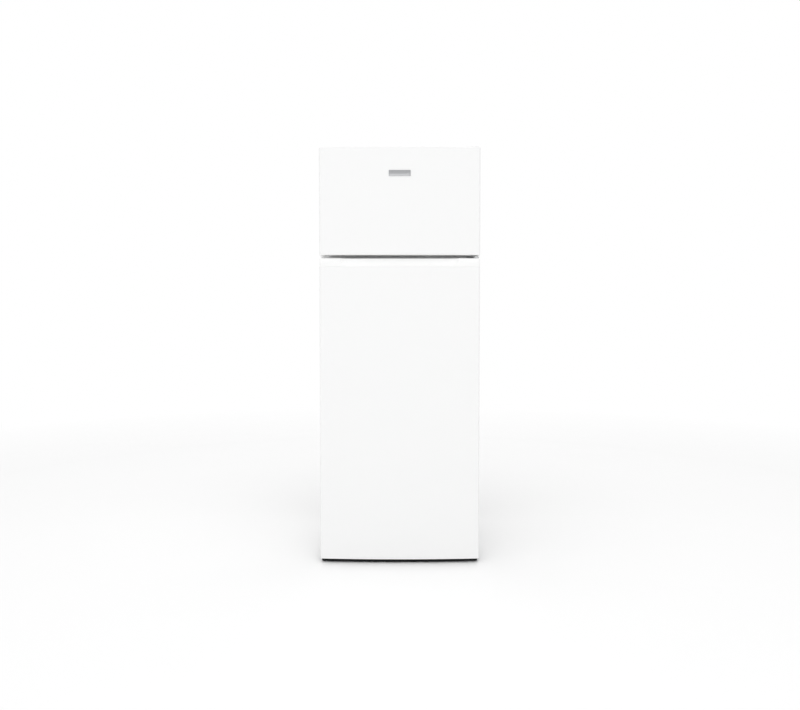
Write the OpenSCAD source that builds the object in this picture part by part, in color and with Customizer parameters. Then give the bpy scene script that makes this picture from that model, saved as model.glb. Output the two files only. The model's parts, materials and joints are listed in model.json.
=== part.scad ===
// Top freezer refrigerator, in millimetres.
// X runs across the front, Y from the front to the back, and Z up from the floor.
// The origin is on the floor, under the middle of the whole object.

/* [Cabinet] */
// Width over the doors
door_w = 550; // [540:2:580]
// Height of the top of the cabinet above the floor
cabinet_top = 1429; // [1415:1:1459]
// Height of the underside of the cabinet above the floor
cabinet_bottom = 20; // [20:1:22]
// Y of the front rim of the cabinet
rim_y = -203; // [-205:1:-200]
// Y of the rear face of the insulation
back_y = 244; // [240:1:246]
// Thickness of the insulated side walls
wall_t = 45; // [42:1:50]

/* [Compartments] */
// Height of the freezer floor
freezer_floor = 1085; // [1083:1:1090]
// Height of the refrigerator ceiling
fridge_ceiling = 1030; // [1024:1:1030]
// Height of the refrigerator floor in front of the compressor step
fridge_floor = 75; // [70:1:78]
// Height of the refrigerator floor over the compressor step
step_floor = 275; // [272:1:280]

/* [Doors] */
// Y of the front of the doors at the middle of their bow
front_y = -271; // [-272:1:-269]
// How far the front of a door bows out over its whole width
bow = 9; // [6:1:11]
// Radius of the upright front edges of a door
edge_r = 8; // [6:1:12]
// Y of the rear face of the doors
door_back = -213; // [-214:1:-212]
// Height of the bottom of the freezer door
freezer_door_bottom = 1063.5; // [1062:0.5:1066]
// Height of the top of the refrigerator door
fridge_door_top = 1051.5; // [1048:0.5:1053]
// Height of the bottom of the refrigerator door
fridge_door_bottom = 16; // [15:1:18]
// Height of the finger recess cap along the top of the refrigerator door
grip_cap_h = 28; // [24:1:30]
// Length of the finger recess
grip_w = 426; // [380:2:440]

/* [Hinges] */
// X of the hinge axis, in from the right-hand edge of the doors
hinge_inset = 12; // [12:1:14]
// Y of the hinge axis
hinge_y = -235; // [-237:1:-234]
// Radius of the hinge pins
pin_r = 4; // [3.5:0.1:4.5]

/* [Fittings] */
// Depth of the door racks
rack_d = 82; // [70:1:84]
// Height of a door rack
rack_h = 62; // [50:1:70]
// Number of straight runs of the condenser tube
condenser_runs = 17; // [9:2:17]
// Number of upright condenser wires
condenser_wire_count = 25; // [11:2:25]

/* [Hidden] */
$fn = 48;
sheet_t = 1;
hem_t = 1.5;
liner_t = 1.5;
flange_w = 14;
cabinet_half = door_w / 2 - 1;
cavity_half = cabinet_half - wall_t;
mouth_half = cabinet_half - flange_w;
top_edge_r = 6;
cavity_r = 18;
cavity_back = 190;
freezer_ceiling = cabinet_top - 55;
step_y = 60;
bay_y = 96;
bay_top = 240;
crossbar_low = 1040;
crossbar_high = 1076;
lip_h = 14;

door_half = door_w / 2;
freezer_door_top = cabinet_top - 2;
crown_r = (door_half * door_half + bow * bow) / (2 * bow);
crown_y = front_y + crown_r;
cap_t = 3;
cap_plug = 12;
plug_half = cavity_half - 14;
plug_y = -178;
recess_y = -206;
recess_half = plug_half - 25;
recess_r = 4;
plug_gap = 12;
gasket_out = door_half - 18;
gasket_w = 12;
gasket_edge = 6;
gasket_y = rim_y - 0.3;

badge_t = 1.5;
badge_gap = 0.03;

hinge_x = door_half - hinge_inset;
bush_r = 7;
bush_h = 15;
bush_bore = pin_r + 0.08;
pin_reach = 14;
plate_t = 3;
collar_r = 6.5;
arm_x0 = 234;
middle_plate_z = 1056;
bottom_plate_z = 8;
screw_r = 2.5;
screw_hole_r = 2.6;
screw_head_r = 5;
screw_head_h = 2.5;
top_screws = [[244, -150], [262, -150], [253, -176]];
middle_screws = [[241, 1051], [264, 1051]];
bottom_screws = [[236, -180], [262, -180]];

rack_half = recess_half - 2;
rack_back = recess_y + 0.2;
rack_front = rack_back + rack_d;
rack_t = 2.2;
lug_h = 6;
freezer_racks = [1134, 1264];
fridge_racks = [520, 800];
bottle_rack_z = 124;
bottle_rack_h = 88;

shelf_z = [248, 440, 640];
shelf_front = -100;
shelf_back = [step_y - 4, 176, 176];
glass_t = 4;
shelf_half = cavity_half - 4;
freezer_shelf_z = 1219;
rib_w = 10;
rib_t = 4;

crisper_half = cavity_half - 14;
crisper_front = -88;
crisper_back = 52;
crisper_z = fridge_floor + 6;
crisper_h = 154;

housing_z = 985;
housing_half = 85;
housing_front = -70;
housing_back = 60;
housing_t = 2.5;
knob_x = 45;
knob_z = 1007;
knob_r = 19;
switch_x = -65;
switch_z = 1021;
plunger_r = 3;

foot_x = 205;
foot_y = -150;
foot_r = 18;
roller_x = 225;
roller_y = 215;
roller_r = 16;
axle_r = 4;
tray_z = 34;
tray_t = 2;

compressor_x = 40;
compressor_y = 168;
compressor_r = 62;
grommet_dx = 82;
grommet_dy = 40;

condenser_y = 258;
condenser_half = 225;
condenser_low = 330;
condenser_pitch = 60;
tube_r = 2.5;
wire_r = 0.9;
condenser_high = condenser_low + (condenser_runs - 1) * condenser_pitch;

// Points along an arc about [x, y], both ends included
function arc(x, y, r, from, to, steps = 6) =
    [for (i = [0 : steps]) let (a = from + (to - from) * i / steps) [x + r * cos(a), y + r * sin(a)]];

// Outline of a rectangle between two corners, with round corners
function rounded(x0, y0, x1, y1, r) = concat(
    arc(x1 - r, y0 + r, r, -90, 0), arc(x1 - r, y1 - r, r, 0, 90),
    arc(x0 + r, y1 - r, r, 90, 180), arc(x0 + r, y0 + r, r, 180, 270));

// Plan of a bowed front with round edges: a big arc that runs into two small ones
function bowed(half, front, back, r, big) =
    let (far = front + big, cx = half - r, cy = far - sqrt(pow(big - r, 2) - cx * cx),
         lean = asin(cx / (big - r)), steps = 32)
    concat([for (i = [1 : steps - 1]) let (a = 270 - lean + 2 * lean * i / steps)
            [big * cos(a), far + big * sin(a)]],
        arc(cx, cy, r, 270 + lean, 360), [[half, back], [-half, back]],
        arc(-cx, cy, r, 180, 270 - lean));

// Plan of a door, set in by d from its outer face
function door_plan(d, back) = bowed(door_half - d, front_y + d, back, edge_r - d, crown_r - d);

// Section of the cabinet across its width, set in by d, open or closed at height low
function cabinet_section(d, low) = concat(
    [[-cabinet_half + d, low], [cabinet_half - d, low]],
    arc(cabinet_half - top_edge_r, cabinet_top - top_edge_r, top_edge_r - d, 0, 90),
    arc(-cabinet_half + top_edge_r, cabinet_top - top_edge_r, top_edge_r - d, 90, 180));

// Section of a compartment between two heights, grown by d
function cavity_section(low, high, d) =
    rounded(-cavity_half - d, low - d, cavity_half + d, high + d, cavity_r + d);

module block(x0, x1, y0, y1, z0, z1) {
    translate([x0, y0, z0]) cube([x1 - x0, y1 - y0, z1 - z0]);
}

module slab(points, z0, z1) {
    translate([0, 0, z0]) linear_extrude(z1 - z0) polygon(points);
}

// Extrudes an outline in X and Z from y0 to y1
module along_y(points, y0, y1) {
    translate([0, y1, 0]) rotate([90, 0, 0]) linear_extrude(y1 - y0) polygon(points);
}

// A rod from y0 to y1, on the line at x and z
module rod_y(x, z, r, y0, y1) {
    translate([x, y1, z]) rotate([90, 0, 0]) cylinder(r = r, h = y1 - y0);
}

// A rod from x0 to x1, on the line at y and z
module rod_x(y, z, r, x0, x1) {
    translate([x0, y, z]) rotate([0, 90, 0]) cylinder(r = r, h = x1 - x0);
}

// A rod from z0 to z1, on the line at x and y
module rod_z(x, y, r, z0, z1) {
    translate([x, y, z0]) cylinder(r = r, h = z1 - z0);
}

module mirrored() {
    children();
    mirror([1, 0, 0]) children();
}

// The clearance holes that the hinge screws need in the cabinet
module screw_holes(r) {
    for (p = top_screws) rod_z(p[0], p[1], r, cabinet_top - 14, cabinet_top + 4);
    for (p = middle_screws) rod_y(p[0], p[1], r, rim_y - 4, rim_y + 14);
    for (p = bottom_screws) rod_z(p[0], p[1], r, cabinet_bottom - 4, cabinet_bottom + 14);
}

// ---- Cabinet ----

module outer_shell() {
    color("white") difference() {
        along_y(cabinet_section(0, cabinet_bottom), rim_y, back_y);
        along_y(cabinet_section(sheet_t, cabinet_bottom - 1), rim_y + hem_t, back_y + 1);
        block(-mouth_half, mouth_half, rim_y - 1, rim_y + hem_t + 1, cabinet_bottom - 1, cabinet_top - flange_w);
        screw_holes(screw_hole_r);
    }
}

module back_panel() {
    color("gainsboro") along_y(cabinet_section(0, bay_top), back_y, back_y + sheet_t);
}

module fridge_space(d) {
    along_y(cavity_section(fridge_floor, fridge_ceiling, d), rim_y - 1, step_y + d);
    along_y(cavity_section(step_floor, fridge_ceiling, d), rim_y - 1, cavity_back + d);
}

module freezer_space(d) {
    along_y(cavity_section(freezer_floor, freezer_ceiling, d), rim_y - 1, cavity_back + d);
}

module cabinet_insulation() {
    color("khaki") difference() {
        along_y(cabinet_section(sheet_t, cabinet_bottom + hem_t), rim_y + hem_t, back_y);
        block(-door_half, door_half, bay_y - hem_t, back_y + 1, 0, bay_top);
        fridge_space(liner_t);
        freezer_space(liner_t);
        block(-mouth_half, mouth_half, rim_y - 1, rim_y + 8, crossbar_low, crossbar_high);
        mirrored() rod_z(foot_x, foot_y, 9, cabinet_bottom, 45);
        screw_holes(screw_hole_r);
    }
}

module bottom_plate() {
    inner = cabinet_half - sheet_t;
    color("silver") difference() {
        union() {
            block(-inner, inner, rim_y + hem_t, bay_y, cabinet_bottom, cabinet_bottom + hem_t);
            block(-mouth_half, mouth_half, rim_y, rim_y + hem_t, cabinet_bottom, cabinet_bottom + lip_h);
            block(-inner, inner, bay_y - hem_t, bay_y, cabinet_bottom, bay_top);
            block(-inner, inner, bay_y - hem_t, back_y, bay_top - hem_t, bay_top);
            mirrored() rod_z(foot_x, foot_y, 9, cabinet_bottom, 45);
        }
        mirrored() rod_z(foot_x, foot_y, 5.1, cabinet_bottom - 1, 46);
        screw_holes(screw_hole_r);
    }
}

module shelf_ribs(z, back) {
    mirrored() block(cavity_half - rib_w, cavity_half + 1, shelf_front + 4, back, z - rib_t, z);
}

module freezer_liner() {
    color("white") {
        difference() {
            union() {
                along_y(cavity_section(freezer_floor, freezer_ceiling, liner_t), rim_y, cavity_back + liner_t);
                block(-mouth_half, mouth_half, rim_y, rim_y + liner_t, crossbar_high, cabinet_top - flange_w);
            }
            freezer_space(0);
        }
        shelf_ribs(freezer_shelf_z, 170);
    }
}

module fridge_liner() {
    color("white") {
        difference() {
            union() {
                along_y(cavity_section(fridge_floor, fridge_ceiling, liner_t), rim_y, step_y + liner_t);
                along_y(cavity_section(step_floor, fridge_ceiling, liner_t), rim_y, cavity_back + liner_t);
                block(-mouth_half, mouth_half, rim_y, rim_y + liner_t, cabinet_bottom + lip_h, crossbar_low);
            }
            fridge_space(0);
        }
        shelf_ribs(shelf_z[0], step_y - 4);
        shelf_ribs(shelf_z[1], 170);
        shelf_ribs(shelf_z[2], 170);
    }
}

module crossbar() {
    color("gray") difference() {
        block(-mouth_half, mouth_half, rim_y, rim_y + 8, crossbar_low, crossbar_high);
        screw_holes(screw_hole_r);
    }
}

module plinth() {
    wall = 2.5;
    plinth_half = door_half - 2.5;
    corner_r = 12;
    plinth_front = front_y + 14;
    top = fridge_door_bottom - 3;
    color([0.08, 0.08, 0.08]) difference() {
        union() {
            difference() {
                slab(bowed(plinth_half, plinth_front, rim_y, corner_r, crown_r), 3, top);
                slab(bowed(plinth_half - wall, plinth_front + wall, rim_y + 1, corner_r - wall, crown_r), 1, top - 1.5);
            }
            mirrored() block(130, 170, rim_y - 3, rim_y, top - 2, cabinet_bottom);
            mirrored() block(130, 170, rim_y - 3, rim_y + 30, cabinet_bottom - plate_t, cabinet_bottom);
        }
        rod_z(hinge_x, hinge_y, collar_r + 0.5, top - 3, top + 1);
        block(225, hinge_x + collar_r + 0.3, rim_y - plate_t - 0.3, rim_y + 1, top - 3, top + 1);
    }
}

// ---- Hinges ----

// Plan of a hinge arm, from its root on the cabinet to the round end about the pin
function arm_plan(x0, x1, root, neck, r) = concat(
    [[x1, root], [x0, root], [x0, neck]],
    arc(hinge_x, hinge_y, r, 190, 360, 12), [[x1, neck]]);

module top_hinge() {
    color("silver") difference() {
        union() {
            slab(arm_plan(arm_x0, 273, -136, -190, 11), cabinet_top, cabinet_top + plate_t);
            rod_z(hinge_x, hinge_y, pin_r, freezer_door_top - pin_reach, cabinet_top + 1);
        }
        screw_holes(screw_hole_r);
    }
}

module middle_hinge() {
    color("silver") difference() {
        union() {
            slab(arm_plan(arm_x0, 273, rim_y, rim_y - 8, 11), middle_plate_z, middle_plate_z + plate_t);
            block(arm_x0, 273, rim_y - plate_t, rim_y, 1046, 1068);
            rod_z(hinge_x, hinge_y, pin_r, fridge_door_top - pin_reach, freezer_door_bottom + pin_reach);
            rod_z(hinge_x, hinge_y, collar_r, middle_plate_z + 1, freezer_door_bottom - 0.3);
        }
        screw_holes(screw_hole_r);
    }
}

module bottom_hinge() {
    side = hinge_x + collar_r;
    color("silver") difference() {
        union() {
            slab(arm_plan(arm_x0, side, rim_y, rim_y - 8, collar_r), bottom_plate_z, bottom_plate_z + plate_t);
            block(226, side, rim_y - plate_t, rim_y, bottom_plate_z, cabinet_bottom);
            block(226, side, rim_y - plate_t, -155, cabinet_bottom - plate_t, cabinet_bottom);
            rod_z(hinge_x, hinge_y, pin_r, bottom_plate_z, fridge_door_bottom + pin_reach);
            rod_z(hinge_x, hinge_y, collar_r, bottom_plate_z + 1, fridge_door_bottom - 0.3);
        }
        screw_holes(screw_hole_r);
    }
}

module hinge_screws() {
    color("dimgray") {
        for (p = top_screws) {
            rod_z(p[0], p[1], screw_r, cabinet_top - 12, cabinet_top + plate_t + 1);
            rod_z(p[0], p[1], screw_head_r, cabinet_top + plate_t, cabinet_top + plate_t + screw_head_h);
        }
        for (p = middle_screws) {
            rod_y(p[0], p[1], screw_r, rim_y - plate_t - 1, rim_y + 12);
            rod_y(p[0], p[1], 4, rim_y - plate_t - 2, rim_y - plate_t);
        }
        for (p = bottom_screws) {
            rod_z(p[0], p[1], screw_r, cabinet_bottom - plate_t - 1, cabinet_bottom + 12);
            rod_z(p[0], p[1], screw_head_r, cabinet_bottom - plate_t - screw_head_h, cabinet_bottom - plate_t);
        }
    }
}

module hinge_cover() {
    wall = 1.5;
    high = cabinet_top + 12;
    color("white") difference() {
        slab(rounded(228, -224, 274, -128, 8), cabinet_top, high);
        slab(rounded(228 + wall, -224 + wall, 274 - wall, -128 - wall, 8 - wall), cabinet_top - 1, high - wall);
        block(236, 280, -230, -218, cabinet_top - 1, cabinet_top + plate_t + 1);
        block(270, 275, -218, -134, cabinet_top - 1, cabinet_top + plate_t + 0.5);
    }
}

// ---- Cold circuit ----

module roller_cheek(x) {
    block(x - 1, x + 1, roller_y - 14, roller_y + 14, 8, tray_z + 1);
}

module compressor_tray() {
    inner = cabinet_half - sheet_t;
    color("silver") difference() {
        union() {
            block(-inner, inner, bay_y + 4, 242, tray_z, tray_z + tray_t);
            block(-inner, inner, 240, 242, tray_z, 60);
            block(-inner, inner, bay_y + 4, bay_y + 6, tray_z, 50);
            mirrored() {
                block(inner - 2, inner, bay_y + 4, 242, tray_z, 70);
                roller_cheek(roller_x - 10);
                roller_cheek(roller_x + 10);
            }
        }
        rod_x(roller_y, roller_r, axle_r + 0.05, -260, 260);
        rod_y(-200, 48, 7, 238, 244);
    }
}

module roller_axles() {
    color("gray") mirrored() {
        rod_x(roller_y, roller_r, axle_r, roller_x - 12, roller_x + 12);
        rod_x(roller_y, roller_r, axle_r + 2, roller_x - 13, roller_x - 11);
        rod_x(roller_y, roller_r, axle_r + 2, roller_x + 11, roller_x + 13);
    }
}

module compressor() {
    color([0.1, 0.1, 0.11]) difference() {
        union() {
            translate([compressor_x, compressor_y, 0]) {
                rotate_extrude() polygon(concat(
                    [[0, 56]], [for (a = [-80 : 16 : 0]) [compressor_r * cos(a), 72 + 16 * sin(a)]],
                    [for (a = [0 : 15 : 75]) [compressor_r * cos(a), 168 + 26 * sin(a)]], [[0, 194]]));
                translate([0, 0, 118]) cylinder(r = compressor_r + 4, h = 5);
            }
            block(compressor_x - 96, compressor_x + 96, compressor_y - 52, compressor_y + 52, 54, 57);
        }
        translate([compressor_x, compressor_y, 0])
            for (dx = [-1, 1], dy = [-1, 1])
                translate([dx * grommet_dx, dy * grommet_dy, 53]) cylinder(r = 6, h = 5);
    }
}

module compressor_grommets() {
    color([0.15, 0.15, 0.15]) translate([compressor_x, compressor_y, 0])
        for (dx = [-1, 1], dy = [-1, 1]) translate([dx * grommet_dx, dy * grommet_dy, 0]) difference() {
            union() {
                rod_z(0, 0, 10, tray_z + tray_t, 54);
                rod_z(0, 0, 5.9, 53, 58);
                rod_z(0, 0, 9, 57, 61);
            }
            rod_z(0, 0, 3.1, 30, 62);
        }
}

module evaporation_tray() {
    color("lightgray") difference() {
        slab(rounded(-18, 112, 98, 224, 10), 194, 222);
        slab(rounded(-16, 114, 96, 222, 8), 196, 223);
    }
}

// A bent tube of radius r through a list of points that are joined by straight lines along X, Y or Z
module pipe(points, r) {
    for (i = [0 : len(points) - 2]) {
        a = points[i];
        d = points[i + 1] - a;
        turn = d[0] != 0 ? [0, sign(d[0]) * 90, 0] : d[1] != 0 ? [sign(d[1]) * -90, 0, 0] : [d[2] > 0 ? 0 : 180, 0, 0];
        translate(a) rotate(turn) cylinder(r = r, h = norm(d), $fn = 24);
        if (i > 0) translate(a) sphere(r = r + 0.2, $fn = 24);
    }
}

module refrigerant_pipes() {
    left = compressor_x - compressor_r;
    right = compressor_x + compressor_r;
    low_run = [-condenser_half, condenser_y, condenser_low];
    high_run = [condenser_half, condenser_y, condenser_high];
    color("darkgoldenrod") {
        pipe([[left, 168, 105], [-90, 168, 105], [-90, condenser_y, 105],
            [-condenser_half - 8, condenser_y, 105], low_run - [8, 0, 0], low_run], 2.4);
        pipe([high_run, high_run + [15, 0, 0], [condenser_half + 15, condenser_y, 120],
            [condenser_half + 15, 205, 120], [140, 205, 120]], 2.4);
        rod_x(205, 120, 9, 140, 212);
        pipe([[141, 205, 120], [118, 205, 120], [118, 205, bay_top - hem_t]], 1.5);
        pipe([[right, 168, 135], [126, 168, 135], [126, 168, bay_top - hem_t]], 4);
    }
}

module condenser_tube() {
    color([0.12, 0.12, 0.12]) {
        for (i = [0 : condenser_runs - 1])
            rod_x(condenser_y, condenser_low + i * condenser_pitch, tube_r, -condenser_half, condenser_half);
        for (i = [0 : condenser_runs - 2]) {
            side = i % 2 == 0 ? 1 : -1;
            x = side * condenser_half;
            z = condenser_low + i * condenser_pitch;
            pipe([[x, condenser_y, z], [x + side * 8, condenser_y, z], [x + side * 8, condenser_y, z + condenser_pitch],
                [x, condenser_y, z + condenser_pitch]], tube_r - 0.1);
        }
    }
}

module condenser_wires() {
    span = 360;
    color([0.12, 0.12, 0.12]) for (i = [0 : condenser_wire_count - 1])
        rod_z(-span / 2 + i * span / (condenser_wire_count - 1), condenser_y + tube_r + wire_r + 0.05,
            wire_r, condenser_low - 10, condenser_high + 10, $fn = 16);
}

module condenser_spacers() {
    color([0.2, 0.2, 0.2]) mirrored()
        for (z = [condenser_low + condenser_pitch, condenser_high - condenser_pitch]) difference() {
            block(190, 212, back_y + sheet_t, badge_t - front_y, z - 10, z + 10);
            rod_x(condenser_y, z, tube_r + 0.05, 180, 220);
        }
}

module cable_gland() {
    color([0.15, 0.15, 0.15]) difference() {
        union() {
            rod_y(-200, 48, 6.95, 236, 246);
            rod_y(-200, 48, 10, 237.5, 240);
            rod_y(-200, 48, 10, 242, 244.5);
        }
        rod_y(-200, 48, 4, 235, 247);
    }
}

module freezer_evaporator() {
    color("lightsteelblue") {
        block(-200, 200, cavity_back - 5, cavity_back - 3, 1105, 1352);
        for (i = [0 : 6]) block(-185, 185, cavity_back - 7.5, cavity_back - 4, 1125 + i * 34, 1131 + i * 34);
        mirrored() for (z = [1115, 1342]) rod_y(190, z, 4, cavity_back - 4, cavity_back);
    }
}

// ---- Inside ----

module freezer_shelf() {
    color("whitesmoke") difference() {
        union() {
            block(-shelf_half, shelf_half, shelf_front, 172, freezer_shelf_z, freezer_shelf_z + 4);
            block(-shelf_half, shelf_half, shelf_front - 4, shelf_front, freezer_shelf_z - 8, freezer_shelf_z + 12);
        }
        for (i = [-9 : 9]) block(i * 22 - 5, i * 22 + 5, shelf_front + 16, 158, freezer_shelf_z - 1, freezer_shelf_z + 5);
    }
}

module ice_tray() {
    z = freezer_shelf_z + 4;
    color("aliceblue") difference() {
        slab(rounded(-185, -70, -15, 20, 8), z, z + 32);
        for (i = [0 : 3], j = [0 : 1]) {
            x = -180 + i * 40.5;
            y = -65 + j * 41;
            slab(rounded(x, y, x + 38, y + 39, 6), z + 3, z + 33);
        }
    }
}

module glass_shelf(i) {
    color("lightcyan") block(-shelf_half + 2, shelf_half - 2, shelf_front + 6, shelf_back[i] - 6, shelf_z[i], shelf_z[i] + glass_t);
}

module shelf_trims() {
    color("whitesmoke") for (i = [0 : 2]) {
        z = shelf_z[i];
        difference() {
            union() {
                block(-shelf_half, shelf_half, shelf_front, shelf_front + 16, z + 0.2, z + glass_t + 3);
                block(-shelf_half, shelf_half, shelf_front, shelf_front + 3.5, z - 9, z + glass_t + 3);
                block(-shelf_half, shelf_half, shelf_back[i] - 14, shelf_back[i], z + 0.2, z + glass_t + 8);
            }
            block(-shelf_half + 2, shelf_half - 2, shelf_front + 6, shelf_back[i] - 6, z - 1, z + glass_t);
        }
    }
}

module control_housing() {
    t = housing_t;
    color("white") difference() {
        union() {
            along_y(rounded(-housing_half, housing_z, housing_half, fridge_ceiling, 6), housing_front, housing_back);
            block(switch_x - 11, switch_x + 11, -188, housing_front + 1, 1013, fridge_ceiling);
        }
        block(-housing_half + t, -5, housing_front + t, housing_back - t, housing_z - 1, fridge_ceiling - t);
        block(-2.5, housing_half - t, housing_front + t, housing_back - t, housing_z + t, fridge_ceiling - t);
        rod_y(knob_x, knob_z, 4.08, housing_front - 1, housing_front + t + 1);
        rod_y(switch_x, switch_z, plunger_r + 0.08, -189, -150);
    }
}

module lamp() {
    color("ivory") {
        rod_x(0, 1006, 9, -22, -5);
        translate([-36, 0, 1006]) sphere(r = 15);
    }
}

module lamp_cover() {
    t = housing_t;
    color("ghostwhite") block(-housing_half + t, -5, housing_front + t, housing_back - t, housing_z, housing_z + 2);
}

module thermostat_knob() {
    shaft_end = housing_front + 12;
    color("whitesmoke") difference() {
        union() {
            rod_y(knob_x, knob_z, knob_r, housing_front - 7, housing_front - 0.4);
            rod_y(knob_x, knob_z, knob_r - 4, housing_front - 15, housing_front - 5);
            rod_y(knob_x, knob_z, 4, housing_front - 1, shaft_end);
        }
        for (i = [0 : 11]) translate([knob_x, 0, knob_z]) rotate([0, i * 30, 0])
            rod_y(knob_r - 2.5, 0, 2, housing_front - 16, housing_front - 7);
    }
}

module light_switch_plunger() {
    color("whitesmoke") rod_y(switch_x, switch_z, plunger_r, door_back + 0.3, -155);
}

module crisper_drawer() {
    t = 2.5;
    top = crisper_z + crisper_h;
    color("lightcyan") difference() {
        union() {
            slab(rounded(-crisper_half, crisper_front, crisper_half, crisper_back, 14), crisper_z, top);
            slab(rounded(-crisper_half - 5, crisper_front + 4, crisper_half + 5, crisper_back, 12), top - 4, top);
            block(-70, 70, crisper_front - 6, crisper_front + 2, top - 14, top);
        }
        slab(rounded(-crisper_half + t, crisper_front + t, crisper_half - t, crisper_back - t, 12), crisper_z + t, top + 1);
        block(-66, 66, crisper_front - 4, crisper_front - 0.1, top - 15, top - 3);
    }
}

// ---- Feet and rollers ----

module front_foot(x) {
    color([0.12, 0.12, 0.12]) {
        translate([x, foot_y, 0]) cylinder(r1 = foot_r - 2, r2 = foot_r, h = 3);
        rod_z(x, foot_y, foot_r, 3, 8);
        translate([x, foot_y, 8]) cylinder(r = 11, h = 6, $fn = 6);
        rod_z(x, foot_y, 5, 14, 44);
    }
}

module rear_roller(x) {
    color([0.12, 0.12, 0.12]) difference() {
        union() {
            rod_x(roller_y, roller_r, roller_r, x - 7, x + 7);
            rod_x(roller_y, roller_r, 7, x - 8.7, x + 8.7);
        }
        rod_x(roller_y, roller_r, axle_r + 0.08, x - 9, x + 9);
    }
}

// ---- Door parts, shared by both doors ----

module door_skin(low, high) {
    inner_back = door_back - liner_t;
    color("white") difference() {
        slab(door_plan(0, door_back), low, high);
        slab(door_plan(sheet_t, inner_back), low - 1, high + 1);
        block(-mouth_half, mouth_half, inner_back - 1, door_back + 1, low - 1, high + 1);
    }
}

// The raised block on the back of a door that fills the mouth of its compartment, set in by d
module door_plug(low, high, d) {
    difference() {
        along_y(rounded(-plug_half + d, low + d, plug_half - d, high - d, 16 - d), door_back - liner_t, plug_y - d);
        along_y(rounded(-recess_half - d, low + 25 - d, recess_half + d, high - 25 + d, recess_r + d), recess_y - d, plug_y + 1);
    }
}

module door_insulation(low, high, plug_low, plug_high) {
    color("khaki") union() {
        slab(door_plan(sheet_t, door_back - liner_t), low, high);
        door_plug(plug_low, plug_high, liner_t);
    }
}

module door_liner(low, high, plug_low, plug_high, racks) {
    color("white") {
        difference() {
            union() {
                block(-mouth_half, mouth_half, door_back - liner_t, door_back, low, high);
                door_plug(plug_low, plug_high, 0);
            }
            door_plug(plug_low, plug_high, liner_t);
        }
        for (z = racks) mirrored()
            block(recess_half - 12, recess_half + 1, recess_y - 1, recess_y + 22, z - lug_h, z);
    }
}

module door_gasket(low, high) {
    color("lightgray") difference() {
        block(-gasket_out, gasket_out, door_back, gasket_y, low + gasket_edge, high - gasket_edge);
        block(-gasket_out + gasket_w, gasket_out - gasket_w, door_back - 1, gasket_y + 1,
            low + gasket_edge + gasket_w, high - gasket_edge - gasket_w);
    }
}

module hinge_bush(low) {
    difference() {
        rod_z(hinge_x, hinge_y, bush_r, low, low + bush_h);
        rod_z(hinge_x, hinge_y, bush_bore, low - 1, low + bush_h + 1);
    }
}

// An end cap: a plate over the whole plan of the door and a plug inside its skin
module end_cap(plate_low, plate_high, plug_low, plug_high, bush_low) {
    difference() {
        union() {
            slab(door_plan(0, door_back), plate_low, plate_high);
            slab(door_plan(sheet_t, door_back - liner_t), plug_low, plug_high);
        }
        rod_z(hinge_x, hinge_y, bush_r, bush_low, bush_low + bush_h);
    }
}

module door_rack(z, h) {
    color("aliceblue") difference() {
        slab(rounded(-rack_half, rack_back, rack_half, rack_front, 18), z, z + h);
        slab(rounded(-rack_half + rack_t, rack_back + rack_t, rack_half - rack_t, rack_front - rack_t, 18 - rack_t),
            z + rack_t, z + h + 1);
    }
}

// ---- Freezer door ----

freezer_plug = [freezer_floor + plug_gap, freezer_ceiling - plug_gap];

module freezer_door_skin() {
    door_skin(freezer_door_bottom + cap_t, freezer_door_top - cap_t);
}

module freezer_door_insulation() {
    door_insulation(freezer_door_bottom + cap_t + cap_plug, freezer_door_top - cap_t - cap_plug,
        freezer_plug[0], freezer_plug[1]);
}

module freezer_door_liner() {
    door_liner(freezer_door_bottom + cap_t, freezer_door_top - cap_t, freezer_plug[0], freezer_plug[1], freezer_racks);
}

module freezer_door_top_cap() {
    top = freezer_door_top;
    color("white") end_cap(top - cap_t, top, top - cap_t - cap_plug, top - 1, top - bush_h);
}

module freezer_door_bottom_cap() {
    low = freezer_door_bottom;
    color("white") end_cap(low, low + cap_t, low + 1, low + cap_t + cap_plug, low);
}

module freezer_door_gasket() {
    door_gasket(freezer_door_bottom, freezer_door_top);
}

module freezer_door_bushes() {
    color("ivory") {
        hinge_bush(freezer_door_bottom);
        hinge_bush(freezer_door_top - bush_h);
    }
}

module freezer_door_racks() {
    for (z = freezer_racks) door_rack(z, rack_h);
}

module badge() {
    badge_half = 37;
    badge_z = 1338;
    badge_h = 20;
    span = asin(badge_half / crown_r);
    color("darkgray") slab(concat(
        arc(0, crown_y, crown_r + badge_t, 270 - span, 270 + span, 4),
        arc(0, crown_y, crown_r + badge_gap, 270 + span, 270 - span, 4)),
        badge_z - badge_h / 2, badge_z + badge_h / 2);
}

// ---- Refrigerator door ----

fridge_plug = [fridge_floor + plug_gap, fridge_ceiling - 20];
grip_low = fridge_door_top - grip_cap_h;

module fridge_door_skin() {
    door_skin(fridge_door_bottom + cap_t, grip_low);
}

module fridge_door_insulation() {
    door_insulation(fridge_door_bottom + cap_t + cap_plug, grip_low - cap_plug, fridge_plug[0], fridge_plug[1]);
}

module fridge_door_liner() {
    door_liner(fridge_door_bottom + cap_t, grip_low, fridge_plug[0], fridge_plug[1],
        concat(fridge_racks, [bottle_rack_z]));
}

module fridge_door_top_cap() {
    scoop_r = 34;
    color("white") difference() {
        end_cap(grip_low, fridge_door_top, grip_low - cap_plug, grip_low + 1, fridge_door_top - bush_h);
        rod_x(front_y - 20, fridge_door_top + 0.5, scoop_r, -grip_w / 2, grip_w / 2);
    }
}

module fridge_door_bottom_cap() {
    low = fridge_door_bottom;
    color("white") end_cap(low, low + cap_t, low + 1, low + cap_t + cap_plug, low);
}

module fridge_door_gasket() {
    door_gasket(fridge_door_bottom, fridge_door_top);
}

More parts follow.
